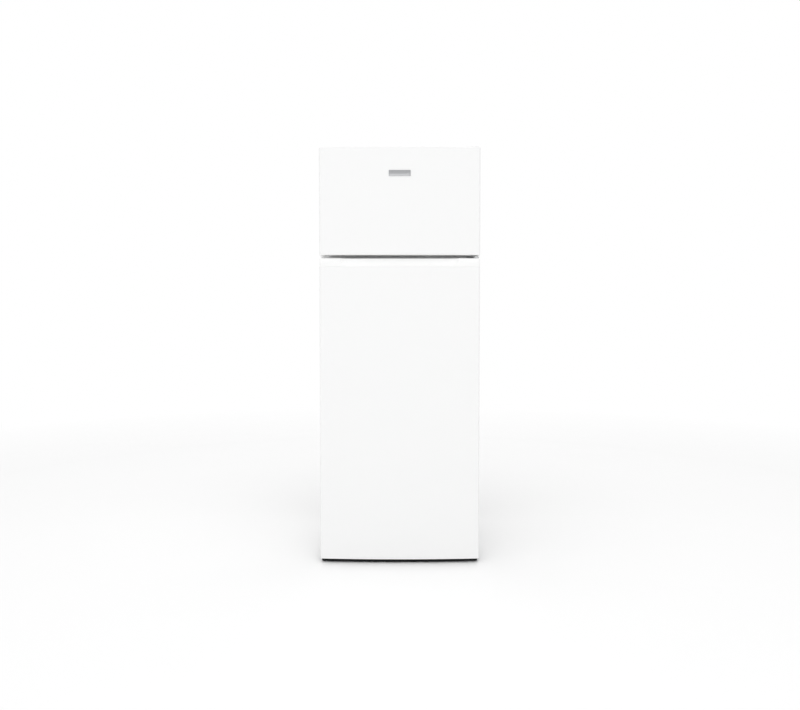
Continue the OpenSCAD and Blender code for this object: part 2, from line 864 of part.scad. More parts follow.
module fridge_door_bushes() {
    color("ivory") {
        hinge_bush(fridge_door_bottom);
        hinge_bush(fridge_door_top - bush_h);
    }
}

module fridge_door_racks() {
    for (z = fridge_racks) door_rack(z, rack_h);
}

module bottle_rack() {
    door_rack(bottle_rack_z, bottle_rack_h);
}

module bottle_retainer() {
    rim_in = rack_front - rack_t;
    rim_top = bottle_rack_z + bottle_rack_h;
    color("whitesmoke") difference() {
        union() {
            block(-14, 14, rim_in - 3, rack_front + 2.5, rim_top - 14, rim_top + 4);
            block(-1.5, 1.5, rack_back + 14, rim_in - 2, rim_top - 60, rim_top + 4);
        }
        block(-15, 15, rim_in - 0.4, rack_front + 0.4, rim_top - 15, rim_top + 0.4);
    }
}

module egg_tray() {
    z = fridge_racks[1] + rack_t;
    color("aliceblue") difference() {
        slab(rounded(-105, rack_back + 4, 105, rack_front - 4, 8), z, z + 16);
        for (i = [0 : 3], j = [0 : 1])
            translate([-75 + i * 50, rack_back + 23 + j * 36, z + 20]) sphere(r = 17);
    }
}

outer_shell();
back_panel();
cabinet_insulation();
bottom_plate();
freezer_liner();
fridge_liner();
crossbar();
plinth();
top_hinge();
middle_hinge();
bottom_hinge();
hinge_screws();
hinge_cover();
compressor_tray();
compressor();
compressor_grommets();
evaporation_tray();
refrigerant_pipes();
condenser_tube();
condenser_wires();
condenser_spacers();
cable_gland();
freezer_evaporator();
freezer_shelf();
ice_tray();
glass_shelf(0);  // glass_shelf_1
glass_shelf(1);  // glass_shelf_2
glass_shelf(2);  // glass_shelf_3
shelf_trims();
control_housing();
lamp();
lamp_cover();
roller_axles();
crisper_drawer();
thermostat_knob();
light_switch_plunger();
front_foot(-foot_x);  // front_foot_left
front_foot(foot_x);  // front_foot_right
rear_roller(-roller_x);  // rear_roller_left
rear_roller(roller_x);  // rear_roller_right
freezer_door_skin();
freezer_door_insulation();
freezer_door_liner();
freezer_door_top_cap();
freezer_door_bottom_cap();
freezer_door_gasket();
freezer_door_bushes();
freezer_door_racks();
badge();
fridge_door_skin();
fridge_door_insulation();
fridge_door_liner();
fridge_door_top_cap();
fridge_door_bottom_cap();
fridge_door_gasket();
fridge_door_bushes();
fridge_door_racks();
bottle_rack();
bottle_retainer();
egg_tray();
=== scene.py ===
import json
import math
import bmesh
import bpy
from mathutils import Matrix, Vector


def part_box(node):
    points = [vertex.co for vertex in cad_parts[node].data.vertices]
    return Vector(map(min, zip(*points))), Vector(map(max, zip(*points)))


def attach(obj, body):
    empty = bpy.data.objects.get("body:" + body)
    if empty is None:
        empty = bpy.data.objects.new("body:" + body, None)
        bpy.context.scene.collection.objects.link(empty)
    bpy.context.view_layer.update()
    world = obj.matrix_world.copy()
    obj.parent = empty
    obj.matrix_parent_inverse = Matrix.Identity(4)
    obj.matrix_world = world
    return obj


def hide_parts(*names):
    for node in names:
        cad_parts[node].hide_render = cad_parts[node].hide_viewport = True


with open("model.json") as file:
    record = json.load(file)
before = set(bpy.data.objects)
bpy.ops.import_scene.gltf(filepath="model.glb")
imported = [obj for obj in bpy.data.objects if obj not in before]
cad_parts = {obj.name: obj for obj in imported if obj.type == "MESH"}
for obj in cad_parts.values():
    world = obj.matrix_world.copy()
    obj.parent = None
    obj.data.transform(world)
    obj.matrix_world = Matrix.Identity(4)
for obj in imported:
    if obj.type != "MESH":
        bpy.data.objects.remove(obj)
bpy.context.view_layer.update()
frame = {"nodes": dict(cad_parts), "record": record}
nodes = frame["nodes"]
bodyOf = {n: b for b, members in frame["record"]["behaviour"]["bodies"].items() for n in members}
slotOf = {p["node"]: p["material_slot"] for p in frame["record"]["subparts"]}
print("frame loaded:", len(nodes), "nodes")

turnTo = {"X": (0, math.pi / 2, 0), "Y": (-math.pi / 2, 0, 0), "Z": (0, 0, 0)}  # from upright to lying along an axis


def only(piece):
    if bpy.context.object and bpy.context.object.mode != "OBJECT":
        bpy.ops.object.mode_set(mode="OBJECT")
    bpy.ops.object.select_all(action="DESELECT")
    piece.select_set(True)
    bpy.context.view_layer.objects.active = piece
    return piece


def startEdit(piece, kind="FACE"):
    only(piece)
    bpy.ops.object.mode_set(mode="EDIT")
    bpy.ops.mesh.select_mode(type=kind)
    bpy.ops.mesh.select_all(action="DESELECT")


def endEdit():
    bpy.ops.object.mode_set(mode="OBJECT")


def pickFaces(piece, test):
    bpy.ops.mesh.select_mode(type="FACE")
    bpy.ops.mesh.select_all(action="DESELECT")
    mesh = bmesh.from_edit_mesh(piece.data)
    for face in mesh.faces:
        face.select_set(bool(test(face.calc_center_median(), face.normal)))
    bmesh.update_edit_mesh(piece.data)


def pickEdges(piece, test):
    bpy.ops.mesh.select_mode(type="EDGE")
    bpy.ops.mesh.select_all(action="DESELECT")
    mesh = bmesh.from_edit_mesh(piece.data)
    for edge in mesh.edges:
        if test(edge.verts[0].co, edge.verts[1].co, edge):
            edge.select_set(True)
    bmesh.update_edit_mesh(piece.data)


def pullUp(height):
    bpy.ops.mesh.extrude_region_move(TRANSFORM_OT_translate={"value": (0, 0, height)})


def faceOutwards():
    bpy.ops.mesh.select_all(action="SELECT")
    bpy.ops.mesh.normals_make_consistent(inside=False)


def settle(piece):
    only(piece)
    bpy.ops.object.transform_apply(location=True, rotation=True, scale=True)
    return piece


def smoothShade(piece, angle=32):
    only(piece)
    bpy.ops.object.shade_smooth_by_angle(angle=math.radians(angle))
    return piece


def addBlock(name, low, high):
    middle = [(a + b) / 2 for a, b in zip(low, high)]
    bpy.ops.object.select_all(action="DESELECT")
    bpy.ops.mesh.primitive_cube_add(size=1, location=middle)
    piece = bpy.context.object
    piece.name = name
    piece.scale = [b - a for a, b in zip(low, high)]
    return settle(piece)


def addRod(name, start, length, radius, along="Z", sides=48):
    axis = {"X": Vector((1, 0, 0)), "Y": Vector((0, 1, 0)), "Z": Vector((0, 0, 1))}[along]
    bpy.ops.object.select_all(action="DESELECT")
    bpy.ops.mesh.primitive_cylinder_add(vertices=sides, radius=radius, depth=length,
                                        location=Vector(start) + axis * length / 2, rotation=turnTo[along])
    piece = bpy.context.object
    piece.name = name
    return settle(piece)


def joined(name, parts):
    only(parts[0])
    for part in parts:
        part.select_set(True)
    if len(parts) > 1:
        bpy.ops.object.join()
    piece = bpy.context.object
    piece.name = name
    return piece


def copied(piece, name, shift=(0, 0, 0)):
    twin = bpy.data.objects.new(name, piece.data.copy())
    bpy.context.scene.collection.objects.link(twin)
    for vertex in twin.data.vertices:
        vertex.co += Vector(shift)
    return twin


def cut(piece, tool):
    only(piece)
    boolean = piece.modifiers.new("cut", "BOOLEAN")
    boolean.operation = "DIFFERENCE"
    boolean.solver = "EXACT"
    boolean.object = tool
    bpy.ops.object.modifier_apply(modifier=boolean.name)
    bpy.data.objects.remove(tool)
    return piece


def roundPath(points, bend, steps=6):
    # a polyline with each corner turned into an arc of radius bend
    points = [Vector(p) for p in points]
    path = [points[0]]
    for before, corner, after in zip(points, points[1:], points[2:]):
        a = (before - corner).normalized()
        b = (after - corner).normalized()
        half = a.angle(b) / 2
        reach = min(bend / math.tan(half), (before - corner).length * 0.49, (after - corner).length * 0.49)
        radius = reach * math.tan(half)
        middle = corner + (a + b).normalized() * radius / math.sin(half)
        first, last = corner + a * reach - middle, corner + b * reach - middle
        sweep = first.angle(last)
        for i in range(steps + 1):
            t = i / steps
            path.append(middle + (first * math.sin((1 - t) * sweep) + last * math.sin(t * sweep)) / math.sin(sweep))
    path.append(points[-1])
    return path


def bentTube(name, points, radius, bend, sides=12):
    curve = bpy.data.curves.new(name, "CURVE")
    curve.dimensions = "3D"
    curve.bevel_depth = radius
    curve.bevel_resolution = max(1, sides // 4 - 1)
    curve.use_fill_caps = True
    path = roundPath(points, bend)
    spline = curve.splines.new("POLY")
    spline.points.add(len(path) - 1)
    for point, co in zip(spline.points, path):
        point.co = (*co, 1)
    piece = bpy.data.objects.new(name, curve)
    bpy.context.scene.collection.objects.link(piece)
    only(piece)
    bpy.ops.object.convert(target="MESH")
    return smoothShade(bpy.context.object, 50)


def boxOf(node):
    # the lowest and highest corners of a CAD node, and the middle between them
    low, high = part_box(node)
    return low, high, (low + high) / 2


def finishPiece(piece, *replaced, slot=None, body=None):
    body = body or bodyOf[replaced[0]]
    settle(piece)
    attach(piece, body)
    if replaced:
        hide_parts(*replaced)
    slot = slot or slotOf[replaced[0]]
    piece.data.materials.clear()
    piece.data.materials.append(materials[slot])
    return piece


def mergedCopy(node, name):
    piece = bpy.data.objects.new(name, nodes[node].data.copy())
    bpy.context.scene.collection.objects.link(piece)
    startEdit(piece, "VERT")
    bpy.ops.mesh.select_all(action="SELECT")
    bpy.ops.mesh.remove_doubles(threshold=0.00001)
    bpy.ops.mesh.dissolve_limited(angle_limit=math.radians(0.05))
    endEdit()
    return piece


# shader groups that several finishes share


def newGroup(name, inputs, outputs):
    group = bpy.data.node_groups.new(name, "ShaderNodeTree")
    for label, kind, value in inputs:
        socket = group.interface.new_socket(name=label, in_out="INPUT", socket_type=kind)
        if value is not None:
            socket.default_value = value
    for label, kind in outputs:
        group.interface.new_socket(name=label, in_out="OUTPUT", socket_type=kind)
    return group, group.nodes.new("NodeGroupInput"), group.nodes.new("NodeGroupOutput")


def setSockets(node, **values):
    # grainScale stands for the socket Grain Scale
    for key, value in values.items():
        label = "".join(" " + c if c.isupper() else c for c in key).title().replace("Ior", "IOR")
        node.inputs[label].default_value = value
    return node


def addNode(tree, kind, **values):
    return setSockets(tree.nodes.new(kind), **values)


def feed(tree, socket, value):
    # a link from another node's output, or a plain number or colour
    if isinstance(value, bpy.types.NodeSocket):
        tree.links.new(value, socket)
    else:
        socket.default_value = (*value, 1) if isinstance(value, tuple) else value


def mathNode(tree, operation, *values):
    node = tree.nodes.new("ShaderNodeMath")
    node.operation = operation
    for socket, value in zip(node.inputs, values):
        feed(tree, socket, value)
    return node.outputs[0]


def rangeNode(tree, value, low, high, toLow, toHigh):
    node = addNode(tree, "ShaderNodeMapRange", fromMin=low, fromMax=high, toMin=toLow, toMax=toHigh)
    tree.links.new(value, node.inputs["Value"])
    return node.outputs["Result"]


def blendColor(tree, factor, a, b):
    node = tree.nodes.new("ShaderNodeMix")
    node.data_type = "RGBA"
    for place, value in ((0, factor), (6, a), (7, b)):
        feed(tree, node.inputs[place], value)
    return node.outputs[2]


def objectCoords(tree, scale=(1, 1, 1)):
    mapping = addNode(tree, "ShaderNodeMapping", scale=scale)
    tree.links.new(tree.nodes.new("ShaderNodeTexCoord").outputs["Object"], mapping.inputs["Vector"])
    return mapping.outputs["Vector"]


def noise(tree, vector, scale, detail=3.0, roughness=0.55):
    node = addNode(tree, "ShaderNodeTexNoise", detail=detail, roughness=roughness)
    tree.links.new(vector, node.inputs["Vector"])
    feed(tree, node.inputs["Scale"], scale)
    return node.outputs["Fac"]


def makeSurfaceGroup():
    # fine grain, broad unevenness and handling marks, all from the object's own coordinates
    group, given, out = newGroup(
        "surfaceDetail",
        [("Grain Scale", "NodeSocketFloat", 900.0), ("Broad Scale", "NodeSocketFloat", 6.0),
         ("Roughness Low", "NodeSocketFloat", 0.2), ("Roughness High", "NodeSocketFloat", 0.35)],
        [("Height", "NodeSocketFloat"), ("Roughness", "NodeSocketFloat"), ("Marks", "NodeSocketFloat")])
    vector = objectCoords(group)
    grain = noise(group, vector, given.outputs["Grain Scale"], 2.0)
    broad = noise(group, vector, given.outputs["Broad Scale"], 4.0, 0.6)
    marks = rangeNode(group, broad, 0.2, 0.8, 0.0, 1.0)
    spread = mathNode(group, "SUBTRACT", given.outputs["Roughness High"], given.outputs["Roughness Low"])
    rough = mathNode(group, "ADD", given.outputs["Roughness Low"], mathNode(group, "MULTIPLY", spread, marks))
    group.links.new(grain, out.inputs["Height"])
    group.links.new(rough, out.inputs["Roughness"])
    group.links.new(marks, out.inputs["Marks"])
    return group


def makeDustGroup():
    # settled dust: on faces that look up, in soft patches
    group, given, out = newGroup(
        "settledDust", [("Amount", "NodeSocketFloat", 0.5), ("Patch Scale", "NodeSocketFloat", 14.0)],
        [("Mask", "NodeSocketFloat")])
    geometry = group.nodes.new("ShaderNodeNewGeometry")
    split = group.nodes.new("ShaderNodeSeparateXYZ")
    group.links.new(geometry.outputs["Normal"], split.inputs[0])
    up = rangeNode(group, split.outputs["Z"], 0.2, 1.0, 0.0, 1.0)
    patches = noise(group, objectCoords(group), given.outputs["Patch Scale"], 5.0, 0.65)
    mask = mathNode(group, "MULTIPLY", up, rangeNode(group, patches, 0.3, 0.7, 0.25, 1.0))
    group.links.new(mathNode(group, "MULTIPLY", mask, given.outputs["Amount"]), out.inputs["Mask"])
    return group


def makeEdgeGroup():
    # where an edge is rubbed by hands and cloths
    group, given, out = newGroup(
        "rubbedEdges", [("Amount", "NodeSocketFloat", 0.5), ("Break Up", "NodeSocketFloat", 60.0)],
        [("Mask", "NodeSocketFloat")])
    geometry = group.nodes.new("ShaderNodeNewGeometry")
    edge = rangeNode(group, geometry.outputs["Pointiness"], 0.51, 0.6, 0.0, 1.0)
    patchy = rangeNode(group, noise(group, objectCoords(group), given.outputs["Break Up"], 3.0), 0.35, 0.65, 0.3, 1.0)
    group.links.new(mathNode(group, "MULTIPLY", mathNode(group, "MULTIPLY", edge, patchy), given.outputs["Amount"]),
                    out.inputs["Mask"])
    return group


surfaceDetail = makeSurfaceGroup()
settledDust = makeDustGroup()
rubbedEdges = makeEdgeGroup()

plainFinish = dict(edge=0.0, coat=0.0, coatRough=0.3, gloss=0.5)
finishes = {
    # colour, second colour, grain scale, broad scale, roughness low and high, bump, dust, edge wear
    "white_paint": dict(color=(0.915, 0.917, 0.915), tint=(0.909, 0.911, 0.910), grain=420, broad=3.2,
                        rough=(0.24, 0.28), bump=0.035, dust=0.03, coat=0.35, coatRough=0.16),
    # cap_white is whiter than the door paint partly as painted light: the extra white stands in for the light that the
    # upward-facing finger recess catches from above
    "cap_white": dict(color=(0.955, 0.957, 0.953), tint=(0.935, 0.937, 0.933), grain=1100, broad=9,
                      rough=(0.26, 0.36), bump=0.05, dust=0.05, edge=0.15, coat=0.15, coatRough=0.25),
    "liner_white": dict(color=(0.86, 0.88, 0.88), tint=(0.83, 0.855, 0.86), grain=260, broad=5,
                        rough=(0.16, 0.26), bump=0.03, dust=0.04, coat=0.3, coatRough=0.12),
    "rail_grey": dict(color=(0.92, 0.922, 0.92), tint=(0.905, 0.907, 0.905), grain=900, broad=12,
                      rough=(0.35, 0.5), bump=0.12, dust=0.1, edge=0.2),
    "black_plastic": dict(color=(0.008, 0.008, 0.009), tint=(0.014, 0.014, 0.015), grain=1300, broad=18,
                          rough=(0.38, 0.55), bump=0.14, dust=0.25, edge=0.3, gloss=0.15),
    "black_enamel": dict(color=(0.013, 0.013, 0.014), tint=(0.022, 0.022, 0.024), grain=500, broad=16,
                         rough=(0.22, 0.42), bump=0.08, dust=0.35, edge=0.25, coat=0.35, coatRough=0.2),
    "black_rubber": dict(color=(0.016, 0.016, 0.016), tint=(0.028, 0.028, 0.027), grain=1500, broad=25,
                         rough=(0.62, 0.8), bump=0.18, dust=0.3, edge=0.1),
    "gasket_white": dict(color=(0.82, 0.822, 0.815), tint=(0.78, 0.782, 0.775), grain=1200, broad=22,
                         rough=(0.42, 0.58), bump=0.08, dust=0.1),
    "nylon": dict(color=(0.80, 0.78, 0.70), tint=(0.74, 0.715, 0.63), grain=900, broad=15,
                  rough=(0.38, 0.52), bump=0.08, dust=0.2, edge=0.1),
}


def blankMaterial(name):
    material = bpy.data.materials.new(name)
    material.use_nodes = True
    tree = material.node_tree
    tree.nodes.clear()
    shader = tree.nodes.new("ShaderNodeBsdfPrincipled")
    output = tree.nodes.new("ShaderNodeOutputMaterial")
    tree.links.new(shader.outputs[0], output.inputs[0])
    return material, tree, shader


def placeGroup(tree, group, **values):
    node = tree.nodes.new("ShaderNodeGroup")
    node.node_tree = group
    return setSockets(node, **values)


def placeDetail(tree, grain, broad, rough):
    return placeGroup(tree, surfaceDetail, grainScale=grain, broadScale=broad, roughnessLow=rough[0],
                      roughnessHigh=rough[1])


def dustedOver(tree, color, amount, dustColor=(0.45, 0.43, 0.40)):
    return blendColor(tree, placeGroup(tree, settledDust, amount=amount).outputs["Mask"], color, dustColor)


def dress(tree, shader, color, roughness, height, bumpStrength, bumpDistance=0.0004, **same):
    # colour, roughness and relief vary over the surface, and the rest is the same all over
    tree.links.new(color, shader.inputs["Base Color"])
    tree.links.new(roughness, shader.inputs["Roughness"])
    setSockets(shader, **same)
    bump = addNode(tree, "ShaderNodeBump", strength=bumpStrength, distance=bumpDistance)
    tree.links.new(height, bump.inputs["Height"])
    tree.links.new(bump.outputs[0], shader.inputs["Normal"])


def paintedOrMoulded(name, values):
    values = {**plainFinish, **values}
    material, tree, shader = blankMaterial(name)
    detail = placeDetail(tree, values["grain"], values["broad"], values["rough"])
    color = blendColor(tree, detail.outputs["Marks"], values["color"], values["tint"])
    if values["edge"]:
        worn = placeGroup(tree, rubbedEdges, amount=values["edge"])
        color = blendColor(tree, worn.outputs["Mask"], color, tuple(min(1, c * 1.25 + 0.03) for c in values["color"]))
    dress(tree, shader, dustedOver(tree, color, values["dust"]), detail.outputs["Roughness"],
          detail.outputs["Height"], values["bump"], coatWeight=values["coat"], coatRoughness=values["coatRough"],
          specularIorLevel=values["gloss"])
    return material


def galvanisedSheet(name):
    # hot-dip zinc: crystal spangle in slightly different greys
    material, tree, shader = blankMaterial(name)
    spangle = addNode(tree, "ShaderNodeTexVoronoi", scale=150.0)
    tree.links.new(objectCoords(tree), spangle.inputs["Vector"])
    gray = tree.nodes.new("ShaderNodeRGBToBW")
    tree.links.new(spangle.outputs["Color"], gray.inputs[0])
    detail = placeDetail(tree, 700.0, 5.0, (0.34, 0.5))
    color = blendColor(tree, gray.outputs[0], (0.50, 0.51, 0.52), (0.62, 0.63, 0.64))
    dress(tree, shader, dustedOver(tree, color, 0.35, (0.30, 0.29, 0.27)), detail.outputs["Roughness"],
          detail.outputs["Height"], 0.08, metallic=0.9)
    return material


def brushedMetal(name, color, darker, stretch, rough, metallic=1.0, bumpStrength=0.12):
    # streaks along the long side of the part
    material, tree, shader = blankMaterial(name)
    streaks = noise(tree, objectCoords(tree, stretch), 160.0, 4.0, 0.7)
    detail = placeDetail(tree, 800.0, 12.0, rough)
    worn = placeGroup(tree, rubbedEdges, amount=0.4)
    mixed = blendColor(tree, worn.outputs["Mask"], blendColor(tree, streaks, darker, color), (0.86, 0.86, 0.87))
    dress(tree, shader, mixed, detail.outputs["Roughness"], streaks, bumpStrength, 0.0002, metallic=metallic)
    return material


def copperTube(name):
    material, tree, shader = blankMaterial(name)
    stains = rangeNode(tree, noise(tree, objectCoords(tree), 38.0, 5.0, 0.65), 0.4, 0.65, 0.0, 1.0)
    detail = placeDetail(tree, 900.0, 20.0, (0.22, 0.5))
    dress(tree, shader, blendColor(tree, stains, (0.72, 0.36, 0.20), (0.36, 0.17, 0.09)),
          detail.outputs["Roughness"], detail.outputs["Height"], 0.06, metallic=1.0)
    return material


def clearMoulding(name, color, rough, ior=1.49, transmission=0.92, bumpStrength=0.03, alpha=1.0):
    # clear styrene or glass: faint flow waves and finger marks
    material, tree, shader = blankMaterial(name)
    detail = placeDetail(tree, 120.0, 11.0, rough)
    dress(tree, shader, blendColor(tree, detail.outputs["Marks"], color, tuple(c * 0.97 for c in color)),
          detail.outputs["Roughness"], detail.outputs["Height"], bumpStrength, ior=ior,
          transmissionWeight=transmission, alpha=alpha)
    return material


def foamFill(name):
    material, tree, shader = blankMaterial(name)
    vector = objectCoords(tree)
    cells = addNode(tree, "ShaderNodeTexVoronoi", scale=420.0)
    tree.links.new(vector, cells.inputs["Vector"])
    patches = noise(tree, vector, 7.0, 4.0)
    dress(tree, shader, blendColor(tree, patches, (0.78, 0.66, 0.38), (0.86, 0.77, 0.52)),
          rangeNode(tree, patches, 0.3, 0.7, 0.8, 0.95), cells.outputs["Distance"], 0.5, 0.001)
    return material


materials = {name: paintedOrMoulded(name, values) for name, values in finishes.items()}
materials["galvanised"] = galvanisedSheet("galvanised")
for name, values in {
    # light and dark streaks, how they stretch, roughness low and high, metallic, bump
    "hinge_steel": ((0.86, 0.865, 0.87), (0.72, 0.73, 0.74), (1, 0.05, 1), (0.3, 0.45)),
    "screw_steel": ((0.62, 0.62, 0.63), (0.45, 0.45, 0.46), (1, 1, 0.2), (0.2, 0.32)),
    "evaporator_aluminium": ((0.80, 0.81, 0.82), (0.68, 0.69, 0.70), (0.04, 1, 1), (0.3, 0.42)),
    "badge_metal": ((0.47, 0.475, 0.485), (0.36, 0.365, 0.375), (0.03, 1, 1), (0.28, 0.36), 0.85, 0.1),
}.items():
    materials[name] = brushedMetal(name, *values)
for name, values in {
    # colour, roughness low and high, index, transmission, bump, alpha
    "shelf_glass": ((0.84, 0.96, 0.92), (0.02, 0.06), 1.52, 0.9, 0.01, 0.42),
    "clear_plastic": ((0.88, 0.93, 0.95), (0.08, 0.16), 1.49, 0.6, 0.04, 0.5),
    "lamp_glass": ((0.97, 0.94, 0.86), (0.25, 0.4), 1.5, 0.5, 0.05),
}.items():
    materials[name] = clearMoulding(name, *values)
materials["copper"] = copperTube("copper")
materials["insulation"] = foamFill("insulation")
print("materials ready:", len(materials))

studio = dict(cameraBack=2.2, cameraSide=0.001, cameraHeight=0.7991, cameraDown=2.006, lens=29.01,
              keyFrom=(-0.35, -1.0, 2.6), keyPower=0.76, keySoftness=75,
              roomTone=0.945, sideTone=0.62, backTone=0.92, topTone=0.98, frontTone=1.10,
              floorSize=80.0, floorTone=(0.95, 0.95, 0.95), floorMark=(0.945, 0.945, 0.945), floorFades=(2.5, 4.5))
bpy.context.scene.view_settings.view_transform = "Standard"

cameraData = bpy.data.cameras.new("camera")
cameraData.lens = studio["lens"]
cameraData.sensor_width = 36
camera = bpy.data.objects.new("camera", cameraData)
bpy.context.scene.collection.objects.link(camera)
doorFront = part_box("freezer_door_skin")[0].y
camera.location = (studio["cameraSide"], doorFront - studio["cameraBack"], studio["cameraHeight"])
camera.rotation_euler = (math.radians(90 - studio["cameraDown"]), 0, 0)
bpy.context.scene.camera = camera


def mixShaders(tree, factor, first, second, output):
    mix = tree.nodes.new("ShaderNodeMixShader")
    for i, source in enumerate((factor, first.outputs[0], second.outputs[0])):
        tree.links.new(source, mix.inputs[i])
    tree.links.new(mix.outputs[0], output.inputs[0])


def paleFloor():
    material, tree, shader = blankMaterial("floor")
    detail = placeDetail(tree, 60.0, 1.5, (0.22, 0.26))
    tree.links.new(blendColor(tree, detail.outputs["Marks"], studio["floorTone"], studio["floorMark"]),
                   shader.inputs["Base Color"])
    tree.links.new(detail.outputs["Roughness"], shader.inputs["Roughness"])
    shader.inputs["Specular IOR Level"].default_value = 0.25
    # far from the object the floor turns into the white of the room
    away = tree.nodes.new("ShaderNodeVectorMath")
    away.operation = "LENGTH"
    tree.links.new(objectCoords(tree), away.inputs[0])
    white = tree.nodes.new("ShaderNodeEmission")
    far = rangeNode(tree, away.outputs["Value"], *studio["floorFades"], 0.0, 1.0)
    mixShaders(tree, far, shader, white, tree.nodes["Material Output"])
    bpy.ops.object.select_all(action="DESELECT")
    bpy.ops.mesh.primitive_plane_add(size=studio["floorSize"])
    floor = bpy.context.object
    floor.name = "floor"
    floor.data.materials.append(material)
    return floor


def overheadLight():
    light = bpy.data.lights.new("overheadLight", "SUN")
    light.energy = studio["keyPower"]
    light.angle = math.radians(studio["keySoftness"])
    holder = bpy.data.objects.new("overheadLight", light)
    bpy.context.scene.collection.objects.link(holder)
    holder.rotation_euler = (-Vector(studio["keyFrom"])).to_track_quat("-Z", "Y").to_euler()


def whiteRoom():
    # a white surround, a little dimmer to the sides and the back, seen as plain white
    world = bpy.data.worlds.new("room")
    bpy.context.scene.world = world
    world.use_nodes = True
    tree = world.node_tree
    tree.nodes.clear()
    coords = tree.nodes.new("ShaderNodeTexCoord")
    split = tree.nodes.new("ShaderNodeSeparateXYZ")
    tree.links.new(coords.outputs["Generated"], split.inputs[0])
    side = mathNode(tree, "MULTIPLY", split.outputs["X"], split.outputs["X"])
    back = mathNode(tree, "MAXIMUM", split.outputs["Y"], 0.0)
    top = mathNode(tree, "MAXIMUM", split.outputs["Z"], 0.0)
    front = mathNode(tree, "MAXIMUM", mathNode(tree, "MULTIPLY", split.outputs["Y"], -1.0), 0.0)
    tone = 1.0
    for part, key in ((side, "sideTone"), (back, "backTone"), (top, "topTone"), (front, "frontTone")):
        tone = mathNode(tree, "ADD", tone, mathNode(tree, "MULTIPLY", part, studio[key] - 1))
    tone = mathNode(tree, "MULTIPLY", tone, studio["roomTone"])
    lit = tree.nodes.new("ShaderNodeBackground")
    seen = tree.nodes.new("ShaderNodeBackground")
    lit.inputs["Color"].default_value = seen.inputs["Color"].default_value = (1, 1, 1, 1)
    tree.links.new(tone, lit.inputs["Strength"])
    path = tree.nodes.new("ShaderNodeLightPath")
    mixShaders(tree, path.outputs["Is Camera Ray"], lit, seen, tree.nodes.new("ShaderNodeOutputWorld"))


paleFloor()
overheadLight()
whiteRoom()
print("camera, floor and light ready")

def camel(node):
    first, *rest = node.split("_")
    return first + "".join(word.capitalize() for word in rest)


def setEdges(piece, width, segments, angle=35, test=None):
    # rounds the edges sharper than the angle that pass the test, in one bevel
    startEdit(piece, "EDGE")
    pickEdges(piece, lambda a, b, edge: len(edge.link_faces) == 2
              and edge.calc_face_angle(0) > math.radians(angle) and (test is None or test(a, b)))
    bpy.ops.mesh.bevel(offset=width, segments=segments, profile=0.5, affect="EDGES", clamp_overlap=True)
    endEdit()
    return piece


softEdges = {
    # metres of round on the edges, and how many segments it has
    # the plinth, a black kick strip under the lower door, is partly painted shade: its black stands for the shade in
    # the gap under the door
    "outer_shell": (0.0003, 1), "crossbar": (0.0012, 3), "plinth": (0.0007, 2), "top_hinge": (0.0007, 2),
    "middle_hinge": (0.0007, 2), "bottom_hinge": (0.0006, 2), "hinge_cover": (0.0012, 2),
    "compressor_tray": (0.0004, 1), "evaporation_tray": (0.0007, 2), "condenser_spacers": (0.0015, 3),
    "cable_gland": (0.0006, 2), "roller_axles": (0.0006, 2), "freezer_shelf": (0.0012, 2), "ice_tray": (0.0005, 2),
    "glass_shelf_1": (0.0008, 2), "glass_shelf_2": (0.0008, 2), "glass_shelf_3": (0.0008, 2),
    "shelf_trims": (0.0009, 2), "control_housing": (0.0010, 2), "crisper_drawer": (0.0009, 2),
    "light_switch_plunger": (0.0008, 3), "bottle_retainer": (0.0008, 2), "egg_tray": (0.0006, 2),
    "freezer_door_top_cap": (0.0006, 2), "freezer_door_bottom_cap": (0.0006, 2),
    "fridge_door_bottom_cap": (0.0006, 2), "freezer_door_bushes": (0.0005, 2), "fridge_door_bushes": (0.0005, 2),
    "compressor_grommets": (0.0008, 2),
}
for node, (width, segments) in softEdges.items():
    finishPiece(smoothShade(setEdges(mergedCopy(node, camel(node)), width, segments)), node)
print("softened parts:", len(softEdges))

# plain CAD parts that only need their finish
for node in ("cabinet_insulation", "bottom_plate", "freezer_door_skin", "fridge_door_skin",
             "freezer_door_insulation", "fridge_door_insulation"):
    nodes[node].data.materials.clear()
    nodes[node].data.materials.append(materials[slotOf[node]])

def movePicked(piece, shift=None, scale=None, centre=(0, 0, 0)):
    # moves or scales what is selected in edit mode
    mesh = bmesh.from_edit_mesh(piece.data)
    middle = Vector(centre)
    for vertex in mesh.verts:
        if vertex.select:
            if scale:
                vertex.co = middle + Vector(a * b for a, b in zip(vertex.co - middle, scale))
            if shift:
                vertex.co += Vector(shift)
    bmesh.update_edit_mesh(piece.data)


recess = dict(scoopRadius=0.034, scoopForward=0.020, scoopAbove=0.0005, halfLength=0.213, rimRound=0.0016,
              edgeRound=0.0006, tongueInset=0.0012, tongueDrop=0.008, bushRadius=0.007, bushDepth=0.015)


